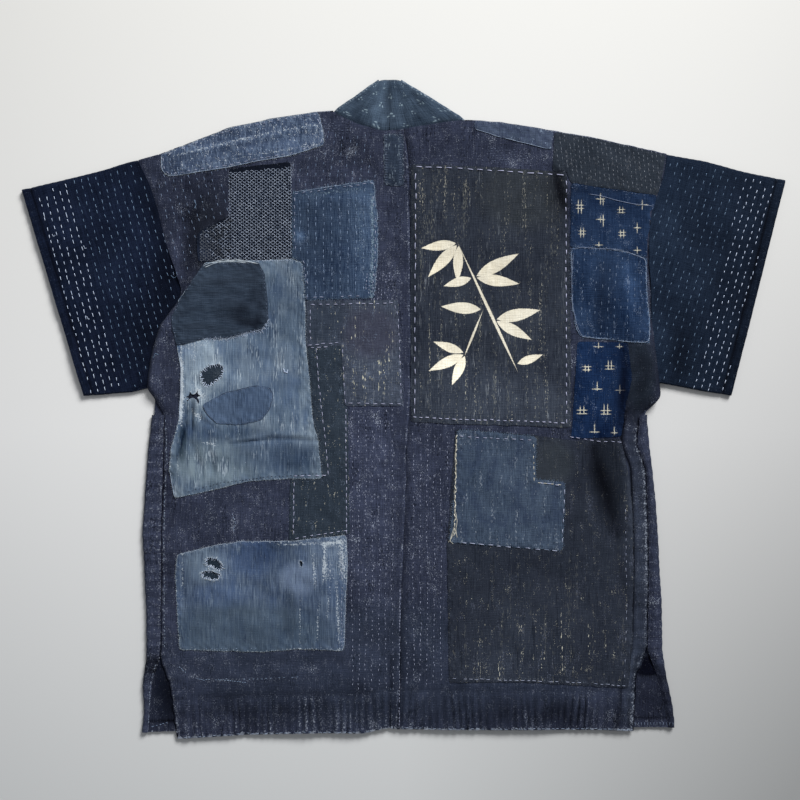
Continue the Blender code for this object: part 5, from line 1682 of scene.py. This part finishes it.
sewn("black_patch_edge_stitches", 0.62, "lilac", ([(15, 298), (14, -8)], 13.0, 8.6, 14),
    ([(13, 304), (107, 299), (199, 293)], 12.6, 8.2, 15),
    ([(203, 288), (203, 180), (203.5, 55), (203.5, -16)], 11.0, 6.0, 16),
    ([(10, -9), (59, -12), (139, -14), (204, -17)], 8.0, 5.0, 17))
sewn("bold_edge_stitches", 0.42, "lilac",
    ([(-109, 78), (-106, 30), (-98, -35), (-94, -82), (-136, -83)], 9.0, 5.5, 18),
    ([(-72, 2), (-72, -60), (-71, -157)], 7.5, 5.5, 19), ([(-137, -90), (-137, -160)], 8.0, 5.5, 20),
    ([(-138, -161), (-104, -156), (-72, -151)], 9.0, 5.0, 21),
    ([(-76, 78), (-73, 8), (-4, 7)], 10.0, 5.5, 22, 0.85),
    ([(-118, 131), (-11, 133), (-6, 112), (-3, 12)], 9.0, 5.0, 23),
    ([(-116.5, 126), (-116.5, 88)], 8.0, 4.6, 38), ([(-121, 80), (-80, 84)], 8.0, 5.4, 39),
    ([(-118, 77), (-96, 78)], 8.0, 5.0, 44), ([(206, -34), (240, -39), (273, -41)], 8.5, 5.0, 31),
    ([(68, -33), (112, -36), (158, -38)], 9.0, 4.6, 45, 0.85))
sewn("corner_cream_stitches", 0.4, "ivory", ([(162, -42), (163, -88)], 6.6, 4.0, 32, 0.85),
    ([(166, -91), (196, -94)], 8.0, 5.0, 46))
sewn("corner_edge_stitches", 0.56, "lavender", ([(70, -166), (130, -171), (194, -177)], 11.5, 7.0, 29),
    ([(201, -97), (198, -172)], 11.5, 6.4, 30), ([(168, -91), (200, -95)], 9.4, 5.8, 37))
sewn("lower_edge_stitches", 0.3, "lavender",
    ([(60, -336), (140, -338), (215, -341), (277, -345)], 7.0, 4.8, 33, 0.75),
    ([(276, -338), (279, -240), (277, -120)], 9.0, 4.2, 34, 0.6),
    ([(-77, -164), (-77, -300)], 4.6, 2.6, 35, 0.85), ([(-4.4, -225), (-5.4, -397)], 4.2, 3.2, 90, 0.8))
sewn("faded_hem_stitches", 0.34, "navy",
    ([(-270, -103), (-226, -91), (-172, -84.5), (-108, -80)], 4.6, 2.6, 36))
edge_dashes = []
covered = patch_loops["charcoal"]
for number, node in enumerate(["shoulder_left", "blue_stitched"]):
    edge_dashes += [dash for dash in round_edge(node, 3.0, 9.0, 4.5, 40 + number, keep=0.8)
                    if from_loop(dash[0], dash[1], covered) > 5 * MM and not within(*dash[:2], covered)]
stitches("patch_edge_stitches", edge_dashes, 0.34, "lavender")
close = []
for number, node in enumerate(["charcoal", "leaf", "mid_blue", "kasuri_upper"]):
    close += round_edge(node, 1.5, 5.0, 2.2, 60 + number, keep=0.35 if "kasuri" in node else 0.9)
stitches("fine_edge_stitches", close, 0.26, "blue")


# ---------------- frayed edges and loose threads
# Fibres along the worn edges of the faded patches, darned rims round their holes, and single threads
# that lie on the cloth.

def lay_threads(name, lines, radius, kind, lift=0.6):
    """Long threads that follow the cloth, each along its own line of places in mm."""
    paths = []
    for line in lines:
        route = evenly(MM * np.array(line), 24, 2)
        heights = [top_at(every_cloth, x, y, 1 * MM) + lift * radius * MM for x, y in route]
        paths.append(np.column_stack([route, heights]))
    girths = np.full(np.shape(paths)[:2], radius * MM)
    girths[:, [0, -1]] *= 0.2
    return swept(name, paths, girths, THREADS[kind], 4)


def rims(name, edges, radius, kind, seed, clear_of=None):
    """Thin worn lines that follow stretches of patches' edges. Each edge is a node, the directions in
    degrees that the edge faces where it is worn, and the share of it that shows."""
    draw = np.random.default_rng(seed)
    lines = []
    for node, faced, share in edges:
        loop = along_loop(patch_loops[node], 2.0 * MM)
        outward = outward_of(loop)
        ways = np.radians(faced)
        facing = (outward @ np.stack([np.cos(ways), np.sin(ways)])).max(1) > 0.75
        if clear_of:
            cover = patch_loops[clear_of]
            facing &= (from_loop(*loop.T, cover) > 9 * MM) & ~within(*loop.T, cover)
        inner = (loop - 0.35 * outward * MM + draw.normal(0, 0.12 * MM, loop.shape)) / MM
        run = []
        for place, shown in zip(inner, facing):
            if shown and draw.uniform() < 0.8 + 0.2 * share:
                run.append(place)
                continue
            if len(run) > 2 and draw.uniform() < share:
                lines.append(run)
            run = []
    lay_threads(name, lines, radius, kind, 0.4)


def fibres(name, edges, spacing, length, radius, kind, seed, spread=0.9, clear_of=(), below=1.0,
           right_of=-1.0):
    """Short curved fibres that stand out from edges, each a loop and 1 for outwards, -1 for inwards.
    There are none at or under the patches they are clear of, further up than below, or left of right_of."""
    draw = np.random.default_rng(seed)
    paths = []
    for loop, way in edges:
        loop = along_loop(loop, spacing * MM)
        outward = outward_of(loop) * way
        low = (loop[:, 1] < below) & (loop[:, 0] > right_of)
        loop, outward = loop[low], outward[low]
        for other in clear_of:
            cover = patch_loops[other]
            free = (from_loop(*loop.T, cover) > 9 * MM) & ~within(*loop.T, cover)
            loop, outward = loop[free], outward[free]
        for place, out in zip(loop, outward):
            angle = math.atan2(out[1], out[0]) + draw.normal(0, spread)
            reach = length * MM * draw.uniform(0.5, 1.3)
            bend = draw.normal(0, 0.5)
            shares = np.linspace(-0.3, 1, 6)
            headings = angle + bend * shares
            line = place + reach * np.stack([np.cos(headings), np.sin(headings)], 1) * shares[:, None]
            heights = [top_at(every_cloth, x, y) for x, y in line]
            if None not in heights:
                rise = np.array([-0.2, 0.3, 0.5, 0.6, 0.5, 0.2]) * draw.uniform(0.6, 1.4) * MM
                paths.append(np.column_stack([line, np.array(heights) + rise * 0.6]))
    paths = np.array(paths)
    girths = np.broadcast_to(np.array([0.5, 1, 1, 0.9, 0.7, 0.3]) * radius * MM, paths.shape[:2])
    return swept(name, paths, girths, THREADS[kind], 3)


rims("faded_patch_rims",
    [("shoulder_left", (0, 280, 190), 0.95), ("faded_lower", (0, 90), 0.75), ("faded_large", (180,), 0.9),
        ("shoulder_right", (250,), 0.7)],
    0.27, "worn", 91, clear_of="charcoal")
rims("indigo_patch_rims",
    [("blue_stitched", (0, 90), 0.9), ("mid_blue", (0, 90, 180, 270), 0.85), ("faded_large", (0,), 0.5)],
    0.24, "worn", 92)
rims("leaf_edge_thread", [("leaf", (0, 300, 240, 180, 60, 110), 0.85)], 0.2, "navy", 93)
fibres("faded_patch_fray",
       [(patch_loops[name], 1) for name in ("shoulder_left", "faded_large", "faded_lower")],
       2.2, 2.0, 0.14, "pale", 71, clear_of=["charcoal"])
fibres("charcoal_edge_fray", [(patch_loops["charcoal"], 1)], 1.4, 4.4, 0.24, "white", 74, below=0.112,
    right_of=-0.25)
sewn("white_lint", 0.6, "white", ([(-149.5, 51), (-148.5, 46.5), (-145, 46), (-144.5, 49)], 1.9, 2.6, 88))
lay_threads("charcoal_top_fray",
    [[(-250, 179), (-238, 184), (-226, 187), (-198, 185), (-181, 182)],
        [(-248, 177), (-232, 184), (-214, 185), (-196, 183)],
        [(-244, 182), (-226, 185), (-205, 187), (-188, 184)]],
    0.5, "pale")
fibres("blue_patch_fray",
       [(patch_loops[node], 1) for node in ("blue_stitched", "mid_blue", "blue_corner")],
       2.4, 2.4, 0.16, "steel", 72)
STAR_Y = 17 * MM  # the height of the star-shaped hole, which has no frayed rim
wide = [hole for hole in hole_loops
        if np.ptp(hole[:, 0]) > 8 * MM and abs(hole[:, 1].mean() - STAR_Y) > 6 * MM]
fibres("hole_rims", [(hole, -1) for hole in wide], 2.6, 3.4, 0.46, "white", 73, spread=0.35)
fibres("hole_rim_fray", [(hole, 1) for hole in wide], 2.8, 3.0, 0.34, "pale", 75, spread=0.7)
lay_threads("cuff_thread_ends",
    [[(-439, 219), (-437, 216), (-435, 218)], [(-396, 117), (-394, 113), (-392, 113)],
        [(-400, 205), (-398, 201), (-396, 202)]],
    0.26, "white")
lay_threads("armhole_thread_ends",
    [[(-291, 168), (-287, 164), (-284, 166), (-283, 172)], [(-312, 64), (-309, 70), (-305, 68)],
        [(-262, 262), (-259, 256), (-262, 251)]],
    0.26, "steel")
lay_threads("kasuri_thread", [[(231, 269), (246, 267), (267, 261), (290, 256), (312, 254)]], 0.4, "blue")
lay_threads("mid_blue_edge_threads",
    [[(213, 200), (220, 203), (245, 201), (270, 200), (284, 195), (302, 188)],
        [(212, 196), (210, 160), (211, 130), (217, 102), (223, 92)]],
    0.38, "blue")
lay_threads("ivory_threads",
    [[(67, -36), (64, -60), (66, -80), (63, -104), (65, -124)],
        [(65, -128), (67, -140), (65, -150), (67, -160)], [(63, -148), (60, -156), (58, -164), (62, -168)],
        [(56, -166), (60, -160), (63, -152)]],
    0.36, "ivory")
stitches("ivory_whip_stitches",
         [(0.066 - 0.00012 * k, -0.034 - 0.0058 * k, 1.1 + 0.4 * (k % 3), 0.0062) for k in range(22)],
         0.62, "ivory")
stitches("worn_crease_flecks",
    running([(-281, -321), (-268, -333), (-252, -338), (-226, -338), (-196, -341)], 3.1, 2.4, 81, keep=0.75)
    + running([(-240, -337), (-190, -337), (-130, -334)], 5.6, 2.2, 82, keep=0.6)
    + running([(-214, -130), (-210, -142), (-213, -150), (-209, -158)], 2.4, 2.0, 83, keep=0.8)
    + [(-0.1475, 0.0482, 1.3, 0.003), (-0.1462, 0.0473, 0.3, 0.003), (-0.1468, 0.0478, 2.2, 0.003)]
    + running([(-262, -299), (-180, -298)], 6.0, 2.0, 84, keep=0.6)
    + running([(-316, -397), (-289, -391)], 4.4, 2.8, 85, keep=0.9),
    0.3, "sky")
sewn("left_seam_stitches", 0.24, "worn",
    ([(-297.5, -12), (-295.5, -66), (-298.5, -104), (-299.5, -163), (-298.5, -300)], 4.8, 3.2, 89, 0.7),
    ([(-310, -318), (-317, -345), (-319, -394)], 3.8, 2.6, 91, 0.75))
sewn("back_hem_stitches", 0.26, "worn",
    ([(-12, -398), (-48, -403), (-117, -403), (-204, -405.5), (-281, -410.5)], 6.0, 4.2, 86, 0.7),
    ([(-4, -398), (70, -399), (245, -399), (284, -400.5)], 6.0, 4.2, 87, 0.7))
stitches("front_hem_puckers",
         [(x * MM, -393.6 * MM, 1.57 + 0.2 * math.sin(x), 4.6 * MM) for x in np.arange(290.0, 338.0, 3.9)],
         0.34, "blue")
